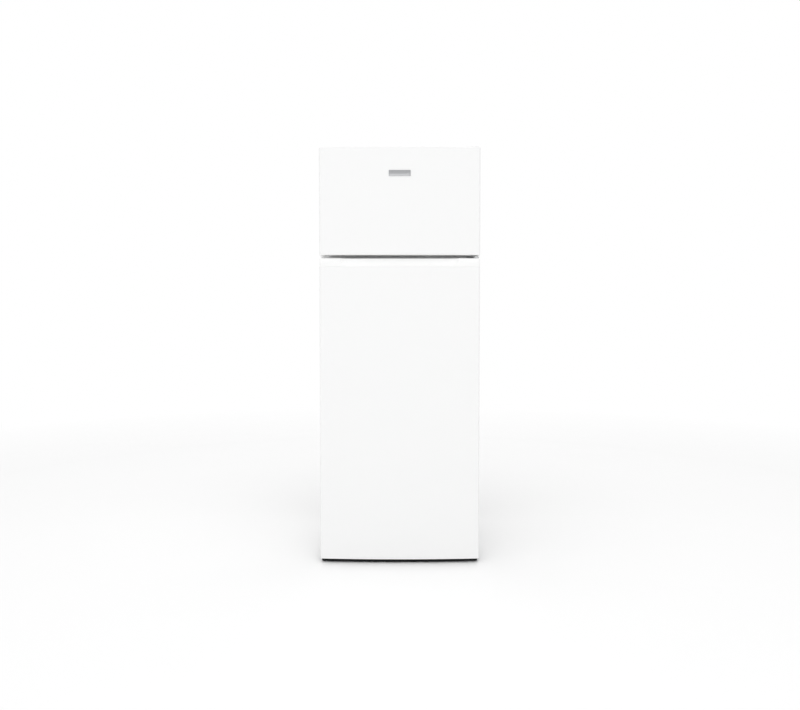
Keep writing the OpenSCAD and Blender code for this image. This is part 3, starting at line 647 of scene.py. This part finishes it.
def fingerRecessCap():
    # the door's own outline, extruded up and scooped out by a long round-ended tool
    low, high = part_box("fridge_door_top_cap")
    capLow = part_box("fridge_door_skin")[1].z
    cap = mergedCopy("fridge_door_bottom_cap", "fingerRecessCap")
    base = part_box("fridge_door_bottom_cap")[0].z
    startEdit(cap)
    pickFaces(cap, lambda centre, normal: not (normal.z < -0.9 and centre.z < base + 0.0002))
    bpy.ops.mesh.delete(type="FACE")
    bpy.ops.mesh.select_all(action="SELECT")
    movePicked(cap, shift=(0, 0, capLow - base))
    bpy.ops.mesh.select_mode(type="EDGE")
    pickEdges(cap, lambda a, b, edge: edge.is_boundary and (Vector((a.x, a.y)) - hingeAxis).length < 0.009)
    bpy.ops.mesh.edge_face_add()
    bpy.ops.mesh.select_all(action="SELECT")
    bpy.ops.mesh.dissolve_limited(angle_limit=math.radians(1))
    bpy.ops.mesh.select_all(action="SELECT")
    pullUp(high.z - capLow)
    faceOutwards()
    # the tongue that slips inside the door sheet
    pickFaces(cap, lambda centre, normal: normal.z < -0.9)
    bpy.ops.mesh.inset(thickness=recess["tongueInset"])
    pullUp(-recess["tongueDrop"])
    endEdit()

    radius = recess["scoopRadius"]
    bpy.ops.object.select_all(action="DESELECT")
    bpy.ops.mesh.primitive_uv_sphere_add(segments=72, ring_count=36, radius=radius, rotation=(0, math.pi / 2, 0))
    tool = settle(bpy.context.object)
    reach = recess["halfLength"] - radius
    for vertex in tool.data.vertices:
        if abs(vertex.co.x) > 1e-5:
            vertex.co.x += math.copysign(reach, vertex.co.x)
        vertex.co.y += low.y - recess["scoopForward"]
        vertex.co.z += high.z + recess["scoopAbove"]
    cut(cap, tool)
    bush = addRod("bushSeat", (hingeAxis.x, hingeAxis.y, high.z - recess["bushDepth"]), 0.02, recess["bushRadius"])
    cut(cap, bush)
    scoopEnd, scoopBack = recess["halfLength"] + 0.001, doorBack - 0.004
    setEdges(cap, recess["rimRound"], 3, 25, lambda a, b: abs((a.x + b.x) / 2) < scoopEnd
             and max(a.y, b.y) < scoopBack and min(a.z, b.z) > capLow + 0.0005 and abs(a.y - b.y) < 0.02)
    setEdges(cap, recess["edgeRound"], 2, 60, lambda a, b: min(a.z, b.z) > capLow - 0.0001
             and (Vector((a.x, a.y)) - hingeAxis).length > 0.01)
    smoothShade(cap, 40)
    return finishPiece(cap, "fridge_door_top_cap")


bushLow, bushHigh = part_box("freezer_door_bushes")
hingeAxis = Vector(((bushLow.x + bushHigh.x) / 2, (bushLow.y + bushHigh.y) / 2))
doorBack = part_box("freezer_door_skin")[1].y
fingerRecessCap()

badgePlate = dict(rim=0.0012, slope=0.0004, sink=0.0005, edge=0.0003)


def blankBadge():
    # a plain plate that follows the bow of the door, with a raised rim
    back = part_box("badge")[1].y
    plate = mergedCopy("badge", "badgePlate")
    startEdit(plate)
    pickFaces(plate, lambda centre, normal: normal.y < -0.9)
    bpy.ops.mesh.inset(thickness=badgePlate["rim"])
    bpy.ops.mesh.inset(thickness=badgePlate["slope"])
    movePicked(plate, shift=(0, badgePlate["sink"], 0))
    endEdit()
    setEdges(plate, badgePlate["edge"], 2, 60, lambda a, b: a.y < back - 0.0006)
    return finishPiece(smoothShade(plate, 30), "badge")


blankBadge()

linerEdges = dict(plugRound=0.0042, recessRound=0.0036, recessFloor=-0.206, recessSide=0.1885)


def doorLiner(node):
    # the vacuum-formed inner face: soft radii where the raised block turns
    liner = mergedCopy(node, camel(node))
    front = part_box(node)[1].y
    recessFloor = linerEdges["recessFloor"]
    setEdges(liner, linerEdges["plugRound"], 4, 60, lambda a, b: abs(a.y - front) < 1e-5 and abs(b.y - front) < 1e-5)
    setEdges(liner, linerEdges["recessRound"], 3, 60, lambda a, b: abs(a.y - recessFloor) < 3e-5
             and abs(b.y - recessFloor) < 3e-5 and abs(a.x) < linerEdges["recessSide"])
    return finishPiece(smoothShade(liner), node)


doorLiner("freezer_door_liner")
doorLiner("fridge_door_liner")

gasketShape = dict(lip=0.0022, fold=0.0009, groove=0.0016, edge=0.0007)


def magneticGasket(node):
    # a soft frame with a bellows fold round its outside and its inside
    middle = boxOf(node)[2]
    frameShape = mergedCopy(node, camel(node))
    startEdit(frameShape)
    for outward in (1, -1):
        def onSide(centre, normal):
            away = Vector((normal.x * (centre.x - middle.x), 0, normal.z * (centre.z - middle.z)))
            return abs(normal.y) < 0.1 and (away.x + away.z) * outward > 0
        pickFaces(frameShape, onSide)
        bpy.ops.mesh.inset(thickness=gasketShape["lip"])
        bpy.ops.mesh.inset(thickness=gasketShape["fold"])
        bpy.ops.transform.shrink_fatten(value=-gasketShape["groove"])
    endEdit()
    setEdges(frameShape, gasketShape["edge"], 2, 40)
    return finishPiece(smoothShade(frameShape, 40), node)


magneticGasket("freezer_door_gasket")
magneticGasket("fridge_door_gasket")

rackRim = dict(height=0.006, proud=0.0012, edge=0.0006, clearOfDoor=0.012)


def clearTray(node):
    # clear trays with a thicker lip round the front and the ends of each
    trays = mergedCopy(node, camel(node))
    rims = {round(v.co.z, 5) for face in trays.data.polygons if face.normal.z > 0.9 and len(face.vertices) > 20
            for v in [trays.data.vertices[face.vertices[0]]]}
    wallBack, wallFront = (corner.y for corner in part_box(node))
    startEdit(trays)
    for top in sorted(rims):
        bpy.ops.mesh.select_all(action="SELECT")
        bpy.ops.mesh.bisect(plane_co=(0, 0, top - rackRim["height"]), plane_no=(0, 0, 1))
        pickFaces(trays, lambda centre, normal: abs(normal.z) < 0.1 and top - rackRim["height"] < centre.z < top
                  and normal.x * centre.x + normal.y * (centre.y - (wallBack + wallFront) / 2) > 0
                  and centre.y > wallBack + rackRim["clearOfDoor"])
        bpy.ops.mesh.extrude_region_shrink_fatten(TRANSFORM_OT_shrink_fatten={"value": rackRim["proud"]})
    endEdit()
    setEdges(trays, rackRim["edge"], 2, 50)
    return finishPiece(smoothShade(trays), node)


for node in ("freezer_door_racks", "fridge_door_racks", "bottle_rack"):
    clearTray(node)
print("doors ready")

def turned(name, centre, rings, along="Z", sides=48):
    # a round part drawn as rings of (distance along the axis, radius), each extruded from the last
    first, firstRadius = rings[0]
    bpy.ops.object.select_all(action="DESELECT")
    bpy.ops.mesh.primitive_circle_add(vertices=sides, radius=firstRadius, fill_type="NGON")
    piece = bpy.context.object
    piece.name = name
    startEdit(piece)
    bpy.ops.mesh.select_all(action="SELECT")
    movePicked(piece, shift=(0, 0, first))
    before, radius = first, firstRadius
    for height, nextRadius in rings[1:]:
        pullUp(height - before)
        movePicked(piece, scale=(nextRadius / radius, nextRadius / radius, 1))
        before, radius = height, nextRadius
    faceOutwards()
    endEdit()
    piece.rotation_euler = turnTo[along]
    piece.location = centre
    return settle(piece)


def crossRecess(piece, centre, along, radius, depth):
    # a cross-shaped driver slot
    cutters = []
    for turn in (0, math.pi / 2):
        bpy.ops.object.select_all(action="DESELECT")
        bpy.ops.mesh.primitive_cube_add(size=1)
        bar = bpy.context.object
        bar.scale = (radius * 1.2, radius * 0.28, depth * 2)
        bar.rotation_euler = (0, 0, turn)
        settle(bar)
        bar.rotation_euler = turnTo[along]
        bar.location = centre
        cutters.append(settle(bar))
    for bar in cutters:
        cut(piece, bar)
    return piece


hingeScrew = dict(
    # places of the screws, then the head as (height, radius) and its driver slot as (radius, depth)
    topPlaces=((0.244, -0.150), (0.262, -0.150), (0.253, -0.176)), middlePlaces=((0.241, 1.051), (0.264, 1.051)),
    bottomPlaces=((0.236, -0.180), (0.262, -0.180)),
    topHead=[(0, 0.005), (0.0012, 0.005), (0.0020, 0.0042), (0.0024, 0.0028)], topSlot=(0.0042, 0.0011),
    middleHead=[(0, 0.004), (-0.0010, 0.004), (-0.0017, 0.0034), (-0.0021, 0.0022)], middleSlot=(0.0034, 0.0009),
    bottomHead=[(0, 0.0028), (0.0006, 0.0042), (0.0013, 0.005), (0.0025, 0.005)], plate=0.003)


def hingeScrews():
    # pan heads with cross slots, at the places of the CAD screws
    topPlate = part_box("top_hinge")[1].z
    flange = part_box("crossbar")[0].y - hingeScrew["plate"]
    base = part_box("hinge_screws")[0].z
    heads = []
    for x, y in hingeScrew["topPlaces"]:
        head = turned("head", (x, y, topPlate), hingeScrew["topHead"], "Z", 24)
        heads.append(crossRecess(head, (x, y, topPlate + 0.0024), "Z", *hingeScrew["topSlot"]))
    for x, z in hingeScrew["middlePlaces"]:
        head = turned("head", (x, flange + 0.0002, z), hingeScrew["middleHead"], "Y", 24)
        heads.append(crossRecess(head, (x, flange - 0.0020, z), "Y", *hingeScrew["middleSlot"]))
    for x, y in hingeScrew["bottomPlaces"]:
        heads.append(turned("head", (x, y, base), hingeScrew["bottomHead"], "Z", 24))
    screws = joined("hingeScrews", heads)
    smoothShade(screws, 35)
    return finishPiece(screws, "hinge_screws")


hingeScrews()

circuit = dict(runs=17, tube=0.0025, bend=0.0295, wire=0.0008, wireGap=0.0075, wireSides=6, pipe=0.0024,
               joint=0.0036, feedJoint=0.0031, jointDrop=0.035, stubY=0.168, drierY=0.205, outletY=0.2385)


def coldCircuit():
    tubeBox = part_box("condenser_tube")
    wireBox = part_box("condenser_wires")
    y = (tubeBox[0].y + tubeBox[1].y) / 2
    edge = circuit["tube"] + 0.0001
    first, last = tubeBox[0].z + edge, tubeBox[1].z - edge
    runs = circuit["runs"]
    pitch = (last - first) / (runs - 1)
    side = tubeBox[1].x - edge
    joinLow, joinHigh = first - circuit["jointDrop"], last - circuit["jointDrop"]
    points = [(-side, y, joinLow), (-side, y, first)]
    for run in range(runs):
        z = first + run * pitch
        end = side if run % 2 == 0 else -side
        if run < runs - 1:
            points += [(end, y, z), (end, y, z + pitch)]
    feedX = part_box("refrigerant_pipes")[1].x - circuit["pipe"] - 0.0002
    points += [(feedX, y, last), (feedX, y, joinHigh)]
    serpentine = bentTube("condenserTube", points, circuit["tube"], circuit["bend"], 16)
    finishPiece(serpentine, "condenser_tube")

    low, high = wireBox[0].z, wireBox[1].z
    count = int((wireBox[1].x - wireBox[0].x - 0.0018) / circuit["wireGap"])
    start = -count * circuit["wireGap"] / 2
    wire = addRod("wire", (start, y + circuit["tube"] + circuit["wire"] - 0.0001, low), high - low, circuit["wire"],
                  sides=circuit["wireSides"])
    wires = []
    for i in range(count + 1):
        for back in (0, -2 * (circuit["tube"] + circuit["wire"]) + 0.0002):
            if i or back:
                wires.append(copied(wire, "wire", (i * circuit["wireGap"], back, 0)))
    wires = joined("condenserWires", [wire] + wires)
    smoothShade(wires, 65)
    finishPiece(wires, "condenser_wires")

    stubY, drierY, outletY = circuit["stubY"], circuit["drierY"], circuit["outletY"]
    collar, feedCollar = circuit["joint"], circuit["feedJoint"]
    pipes = [
        bentTube("suction", [(-0.021, stubY, 0.105), (-0.090, stubY, 0.105), (-0.090, y, 0.105), (-side, y, 0.105),
                             (-side, y, joinLow)], circuit["pipe"], 0.022, 16),
        bentTube("liquid", [(feedX, y, joinHigh), (feedX, y, 0.120), (feedX, drierY, 0.120), (0.205, drierY, 0.120)],
                 circuit["pipe"], 0.020, 16),
        bentTube("capillary", [(0.1415, drierY, 0.120), (0.118, drierY, 0.120), (0.118, drierY, outletY)],
                 0.0014, 0.012, 12),
        bentTube("return", [(0.1015, stubY, 0.135), (0.126, stubY, 0.135), (0.126, stubY, outletY)],
                 0.004, 0.016, 16),
        turned("drier", (0.140, drierY, 0.120), [
            (-0.006, 0.0019), (0, 0.0022), (0.005, 0.0058), (0.010, 0.0086), (0.013, 0.009), (0.059, 0.009),
            (0.062, 0.0086), (0.067, 0.0058), (0.072, 0.0028), (0.079, 0.0026)], "X", 28),
        turned("sleeve", (-side, y, joinLow - 0.008),
               [(0, 0.0026), (0.001, collar), (0.014, collar), (0.015, 0.0026)], "Z", 20),
        turned("sleeve", (feedX, y, joinHigh - 0.008),
               [(0, 0.0024), (0.001, feedCollar), (0.014, feedCollar), (0.015, 0.0024)], "Z", 20),
    ]
    tubes = joined("copperPipes", pipes)
    smoothShade(tubes, 50)
    return finishPiece(tubes, "refrigerant_pipes")


coldCircuit()

pot = dict(radius=0.062, seam=0.0655, footHalfX=0.096, footHalfY=0.052, boxSize=(0.030, 0.046, 0.040))


def sealedCompressor():
    low, high, (x, y, z) = boxOf("compressor")
    radius, seam = pot["radius"], pot["seam"]
    base = low.z + 0.003
    shell = [(base - 0.001, 0.030), (base + 0.001, 0.046), (base + 0.006, 0.055), (base + 0.014, 0.0605),
             (base + 0.024, radius), (0.1165, radius), (0.1175, seam - 0.001), (0.1185, seam), (0.1225, seam),
             (0.1235, seam - 0.001), (0.1245, radius - 0.0004), (0.150, radius - 0.0010), (0.166, radius - 0.0045),
             (0.177, radius - 0.0115), (0.185, radius - 0.0215), (0.190, radius - 0.033), (0.1930, radius - 0.046),
             (high.z - 0.0002, radius - 0.058)]
    body = turned("pot", (x, y, 0), shell, "Z", 72)
    footX, footY = pot["footHalfX"], pot["footHalfY"]
    foot = addBlock("foot", (x - footX, y - footY, low.z), (x + footX, y + footY, base))
    setEdges(foot, 0.016, 6, test=lambda a, b: abs(a.z - b.z) > 0.001)
    for dx in (-0.082, 0.082):
        for dy in (-0.040, 0.040):
            cut(foot, addRod("hole", (x + dx, y + dy, low.z - 0.002), 0.008, 0.006, sides=28))
    startEdit(foot)
    pickFaces(foot, lambda centre, normal: normal.z > 0.9)
    bpy.ops.mesh.inset(thickness=0.006)
    endEdit()
    setEdges(foot, 0.0006, 1, 60)
    width, depth, height = pot["boxSize"]
    terminal = addBlock("terminal", (x - radius - 0.010, y - depth / 2, 0.124),
                        (x - radius + width - 0.010, y + depth / 2, 0.124 + height))
    setEdges(terminal, 0.004, 3)
    stubs = [turned("stub", (x - radius + 0.002, y, 0.105), [(0, 0.0045), (-0.006, 0.0040), (-0.008, 0.0032)], "X", 20),
             turned("stub", (x + radius - 0.004, y, 0.135), [(0, 0.0060), (0.004, 0.0056), (0.007, 0.0046)], "X", 20),
             turned("stub", (x + 0.030, y - radius + 0.012, 0.140),
                    [(0, 0.0040), (-0.016, 0.0036), (-0.022, 0.0034), (-0.024, 0.0022)], "Y", 20)]
    whole = joined("compressorPot", [body, foot, terminal] + stubs)
    smoothShade(whole, 35)
    return finishPiece(whole, "compressor")


sealedCompressor()

dial = dict(skirt=0.019, grip=0.0150, ribs=30, ribDepth=0.0006)


def thermostatDial():
    low, high, (x, y, z) = boxOf("thermostat_knob")
    front = low.y
    grip, skirt = dial["grip"], dial["skirt"]
    knob = turned("thermostatDial", (x, front, z), [
        (0.0006, 0.0050), (0, 0.0092), (0, grip - 0.0014), (0.0004, grip - 0.0005), (0.0012, grip), (0.0080, grip),
        (0.0086, grip + 0.0004), (0.0092, grip + 0.0014), (0.0102, skirt - 0.0006), (0.0112, skirt), (0.0142, skirt),
        (0.0146, skirt - 0.0006), (0.0146, 0.0041), (0.0268, 0.0040)], "Y", 120)
    startEdit(knob)
    step = 2 * math.pi / dial["ribs"]

    def isGroove(centre, normal):
        turn = math.atan2(centre.z - z, centre.x - x) % step
        return abs(normal.y) < 0.2 and front + 0.0012 < centre.y < front + 0.0080 and turn > step * 0.5 \
            and (centre.x - x) ** 2 + (centre.z - z) ** 2 > 0.01 ** 2
    pickFaces(knob, isGroove)
    bpy.ops.mesh.inset(thickness=0.0003)
    bpy.ops.transform.shrink_fatten(value=-dial["ribDepth"])
    endEdit()
    pointer = addBlock("pointer", (x - 0.0009, front, z + 0.0060), (x + 0.0009, front + 0.0016, z + 0.0142))
    setEdges(pointer, 0.0004, 2)
    knob = joined("thermostatDial", [knob, pointer])
    smoothShade(knob, 35)
    return finishPiece(knob, "thermostat_knob")


thermostatDial()


def cabinetLamp():
    low, high, (x, y, z) = boxOf("lamp")
    bulb = turned("lampBulb", (low.x, y, z), [
        (0, 0.0010), (0.0006, 0.0048), (0.0022, 0.0084), (0.0050, 0.0118), (0.0090, 0.0142), (0.0140, 0.0150),
        (0.0185, 0.0145), (0.0230, 0.0125), (0.0265, 0.0098), (0.0290, 0.0078), (0.0310, 0.0072)], "X", 40)
    smoothShade(bulb, 60)
    finishPiece(bulb, "lamp")
    rings = [(0.0300, 0.0062), (0.0302, 0.0070)]
    for turn in range(5):
        start = 0.0310 + turn * 0.0022
        rings += [(start, 0.0068), (start + 0.0006, 0.0074), (start + 0.0014, 0.0074), (start + 0.0020, 0.0068)]
    rings += [(0.0425, 0.0090), (0.0455, 0.0090), (0.0458, 0.0086)]
    base = turned("lampBase", (low.x, y, z), rings, "X", 32)
    smoothShade(base, 40)
    finishPiece(base, slot="screw_steel", body=bodyOf["lamp"])


cabinetLamp()


lampRibs = dict(margin=0.004, start=0.005, pitch=0.006, width=0.003, depth=0.0007, halfLength=0.03)


def ribbedCover():
    low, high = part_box("lamp_cover")
    cover = addBlock("lampCover", low, high)
    start, pitch, width = lampRibs["start"], lampRibs["pitch"], lampRibs["width"]

    def isField(centre, normal):
        return normal.z < -0.9 and abs(centre.x - (low.x + high.x) / 2) < lampRibs["halfLength"]

    startEdit(cover)
    pickFaces(cover, lambda centre, normal: normal.z < -0.9)
    bpy.ops.mesh.inset(thickness=lampRibs["margin"])
    for rib in range(int((high.y - low.y - 2 * start) / pitch)):
        for edge in (start, start + width):
            pickFaces(cover, isField)
            bpy.ops.mesh.bisect(plane_co=(0, low.y + edge + rib * pitch, 0), plane_no=(0, 1, 0))
    pickFaces(cover, lambda centre, normal: isField(centre, normal) and start + 0.0001 < centre.y - low.y
              and (centre.y - low.y - start) % pitch < width and centre.y < high.y - pitch)
    bpy.ops.mesh.inset(thickness=0.0003, use_individual=True)
    movePicked(cover, shift=(0, 0, lampRibs["depth"]))
    endEdit()
    return finishPiece(cover, "lamp_cover")


ribbedCover()

footShape = dict(knurls=36, knurlDepth=0.0010, pitch=0.00125)


def levellingFoot(node):
    low, high, (x, y, z) = boxOf(node)
    pad = turned(camel(node), (x, y, 0), [
        (0, 0.0135), (0, 0.0155), (0.0006, 0.0162), (0.0030, 0.0172), (0.0036, 0.0180), (0.0074, 0.0180),
        (0.0080, 0.0174), (0.0084, 0.0120), (0.0086, 0.0085)], "Z", footShape["knurls"] * 2)
    startEdit(pad)
    step = 2 * math.pi / footShape["knurls"]
    pickFaces(pad, lambda centre, normal: abs(normal.z) < 0.2 and 0.0037 < centre.z < 0.0073
              and (math.atan2(centre.y - y, centre.x - x) % step) < step / 2)
    bpy.ops.mesh.inset(thickness=0.0002, use_individual=True)
    bpy.ops.transform.shrink_fatten(value=-footShape["knurlDepth"])
    endEdit()
    nut = turned("nut", (x, y, 0), [(0.0080, 0.0105), (0.0084, 0.0110), (0.0134, 0.0110), (0.0140, 0.0104)], "Z", 6)
    rings = [(0.0135, 0.0045)]
    turn = 0.0142
    while turn + footShape["pitch"] < high.z - 0.0008:
        rings += [(turn, 0.0045), (turn + footShape["pitch"] / 2, 0.0050)]
        turn += footShape["pitch"]
    rings += [(turn, 0.0045), (high.z, 0.0040)]
    stud = turned("stud", (x, y, 0), rings, "Z", 20)
    foot = joined(camel(node), [pad, nut, stud])
    smoothShade(foot, 30)
    return finishPiece(foot, node)


levellingFoot("front_foot_left")
levellingFoot("front_foot_right")


def rearRoller(node):
    # a moulded wheel with a grooved tread and a recessed web
    x, y, z = boxOf(node)[2]
    hub, bore, tread = 0.0087, 0.0041, 0.016
    half = [(hub, bore), (hub, 0.0066), (hub - 0.0004, 0.0070), (0.0050, 0.0070), (0.0050, 0.0118), (0.0066, 0.0124),
            (0.0070, 0.0132), (0.0070, tread - 0.0008), (0.0062, tread), (0.0036, tread), (0.0030, tread - 0.0007),
            (0.0022, tread - 0.0007), (0.0016, tread)]
    rings = [(-distance, radius) for distance, radius in half] + half[::-1]
    wheel = turned(camel(node), (x, y, z), rings, "X", 56)
    startEdit(wheel)
    pickFaces(wheel, lambda centre, normal: abs(normal.x) > 0.9 and abs(abs(centre.x - x) - hub) < 1e-5
              and (centre.y - y) ** 2 + (centre.z - z) ** 2 < (bore * 0.3) ** 2)
    bpy.ops.mesh.delete(type="ONLY_FACE")
    pickEdges(wheel, lambda a, b, edge: edge.is_boundary)
    bpy.ops.mesh.bridge_edge_loops()
    faceOutwards()
    endEdit()
    smoothShade(wheel, 35)
    return finishPiece(wheel, node)


rearRoller("rear_roller_left")
rearRoller("rear_roller_right")


def evaporatorPlate():
    # roll-bonded sheet: a flat plate with one winding blown channel
    low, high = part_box("freezer_evaporator")
    plate = addBlock("plate", (low.x, high.y - 0.005, low.z), (high.x, high.y - 0.003, high.z))
    setEdges(plate, 0.012, 5, test=lambda a, b: abs(a.y - b.y) > 0.001)
    setEdges(plate, 0.0006, 2, 60)
    lines = 7
    top, bottom, side = high.z - 0.022, low.z + 0.022, high.x - 0.020
    gap = (top - bottom) / (lines - 1)
    points = [(side + 0.006, 0, bottom)]
    for line in range(lines):
        z = bottom + line * gap
        end = -side if line % 2 == 0 else side
        points.append((end, 0, z))
        if line < lines - 1:
            points.append((end, 0, z + gap))
    channel = bentTube("channel", points, 0.0042, gap * 0.49, 16)
    for vertex in channel.data.vertices:
        vertex.co.y = vertex.co.y * 0.55 + high.y - 0.0050
    posts = []
    for x in (-0.190, 0.190):
        for z in (low.z + 0.010, high.z - 0.010):
            posts.append(turned("post", (x, high.y - 0.0062, z), [(0, 0.0030), (0.0006, 0.0046), (0.0014, 0.0048),
                                                                    (0.0014, 0.0040), (0.0060, 0.0040)], "Y", 24))
    whole = joined("evaporatorPlate", [plate, channel] + posts)
    smoothShade(whole, 40)
    return finishPiece(whole, "freezer_evaporator")


evaporatorPlate()


backPanel = dict(foldsAt=(0.33, 0.66), margin=0.035, step=0.004, lift=0.0022, ledge=0.012, sink=0.0014)


def backSheet():
    # galvanised back with pressed panels, a folded edge and a row of screws
    low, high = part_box("back_panel")
    sheet = addBlock("sheet", low, high)
    startEdit(sheet)
    for level in backPanel["foldsAt"]:
        bpy.ops.mesh.select_all(action="SELECT")
        bpy.ops.mesh.bisect(plane_co=(0, 0, low.z + (high.z - low.z) * level), plane_no=(0, 0, 1))
    pickFaces(sheet, lambda centre, normal: normal.y > 0.9)
    for margin, rise in ((backPanel["margin"], backPanel["lift"]), (backPanel["ledge"], -backPanel["sink"])):
        bpy.ops.mesh.inset(thickness=margin, use_individual=True)
        bpy.ops.mesh.inset(thickness=backPanel["step"], use_individual=True)
        movePicked(sheet, shift=(0, rise, 0))
    endEdit()
    setEdges(sheet, 0.0014, 2, math.degrees(0.2), lambda a, b: min(a.y, b.y) > high.y - 0.0001
             and max(abs(a.x), abs(b.x)) < high.x - 0.02)
    screw = turned("screw", (0, high.y - 0.0002, low.z + 0.012),
                   [(0, 0.0048), (0.0006, 0.0048), (0.0016, 0.0040), (0.0022, 0.0026)], "Y", 20)
    crossRecess(screw, (0, high.y + 0.0020, low.z + 0.012), "Y", 0.0036, 0.0009)
    spots = [(side * (high.x - 0.010), z) for side in (-1, 1) for z in (0.06, 0.33, 0.60, 0.87, 1.14)]
    spots += [(x, z) for z in (0.0, high.z - low.z - 0.024) for x in (-0.16, 0.0, 0.16)]
    screws = [copied(screw, "screw", (x, 0, z)) for x, z in spots if (x, z) != (0.0, 0.0)]
    whole = joined("backSheet", [sheet, screw] + screws)
    smoothShade(whole, 30)
    return finishPiece(whole, "back_panel")


backSheet()
print("turned and bent parts ready")

cavityEdges = dict(wall=0.0015, backRound=0.010, mouthRound=0.0010, mouthSide=0.2295)


def compartmentLiner(node):
    # moulded walls run into the back in a soft curve
    low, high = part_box(node)
    liner = mergedCopy(node, camel(node))
    inner = high.y - cavityEdges["wall"]
    setEdges(liner, cavityEdges["backRound"], 4, 60, lambda a, b: abs(a.y - inner) < 2e-5 and abs(b.y - inner) < 2e-5)
    setEdges(liner, cavityEdges["mouthRound"], 2, 60, lambda a, b: abs(a.y - low.y) < 2e-5
             and abs(b.y - low.y) < 2e-5 and max(abs(a.x), abs(b.x)) < cavityEdges["mouthSide"])
    return finishPiece(smoothShade(liner), node)


compartmentLiner("freezer_liner")
compartmentLiner("fridge_liner")
print("liners ready")
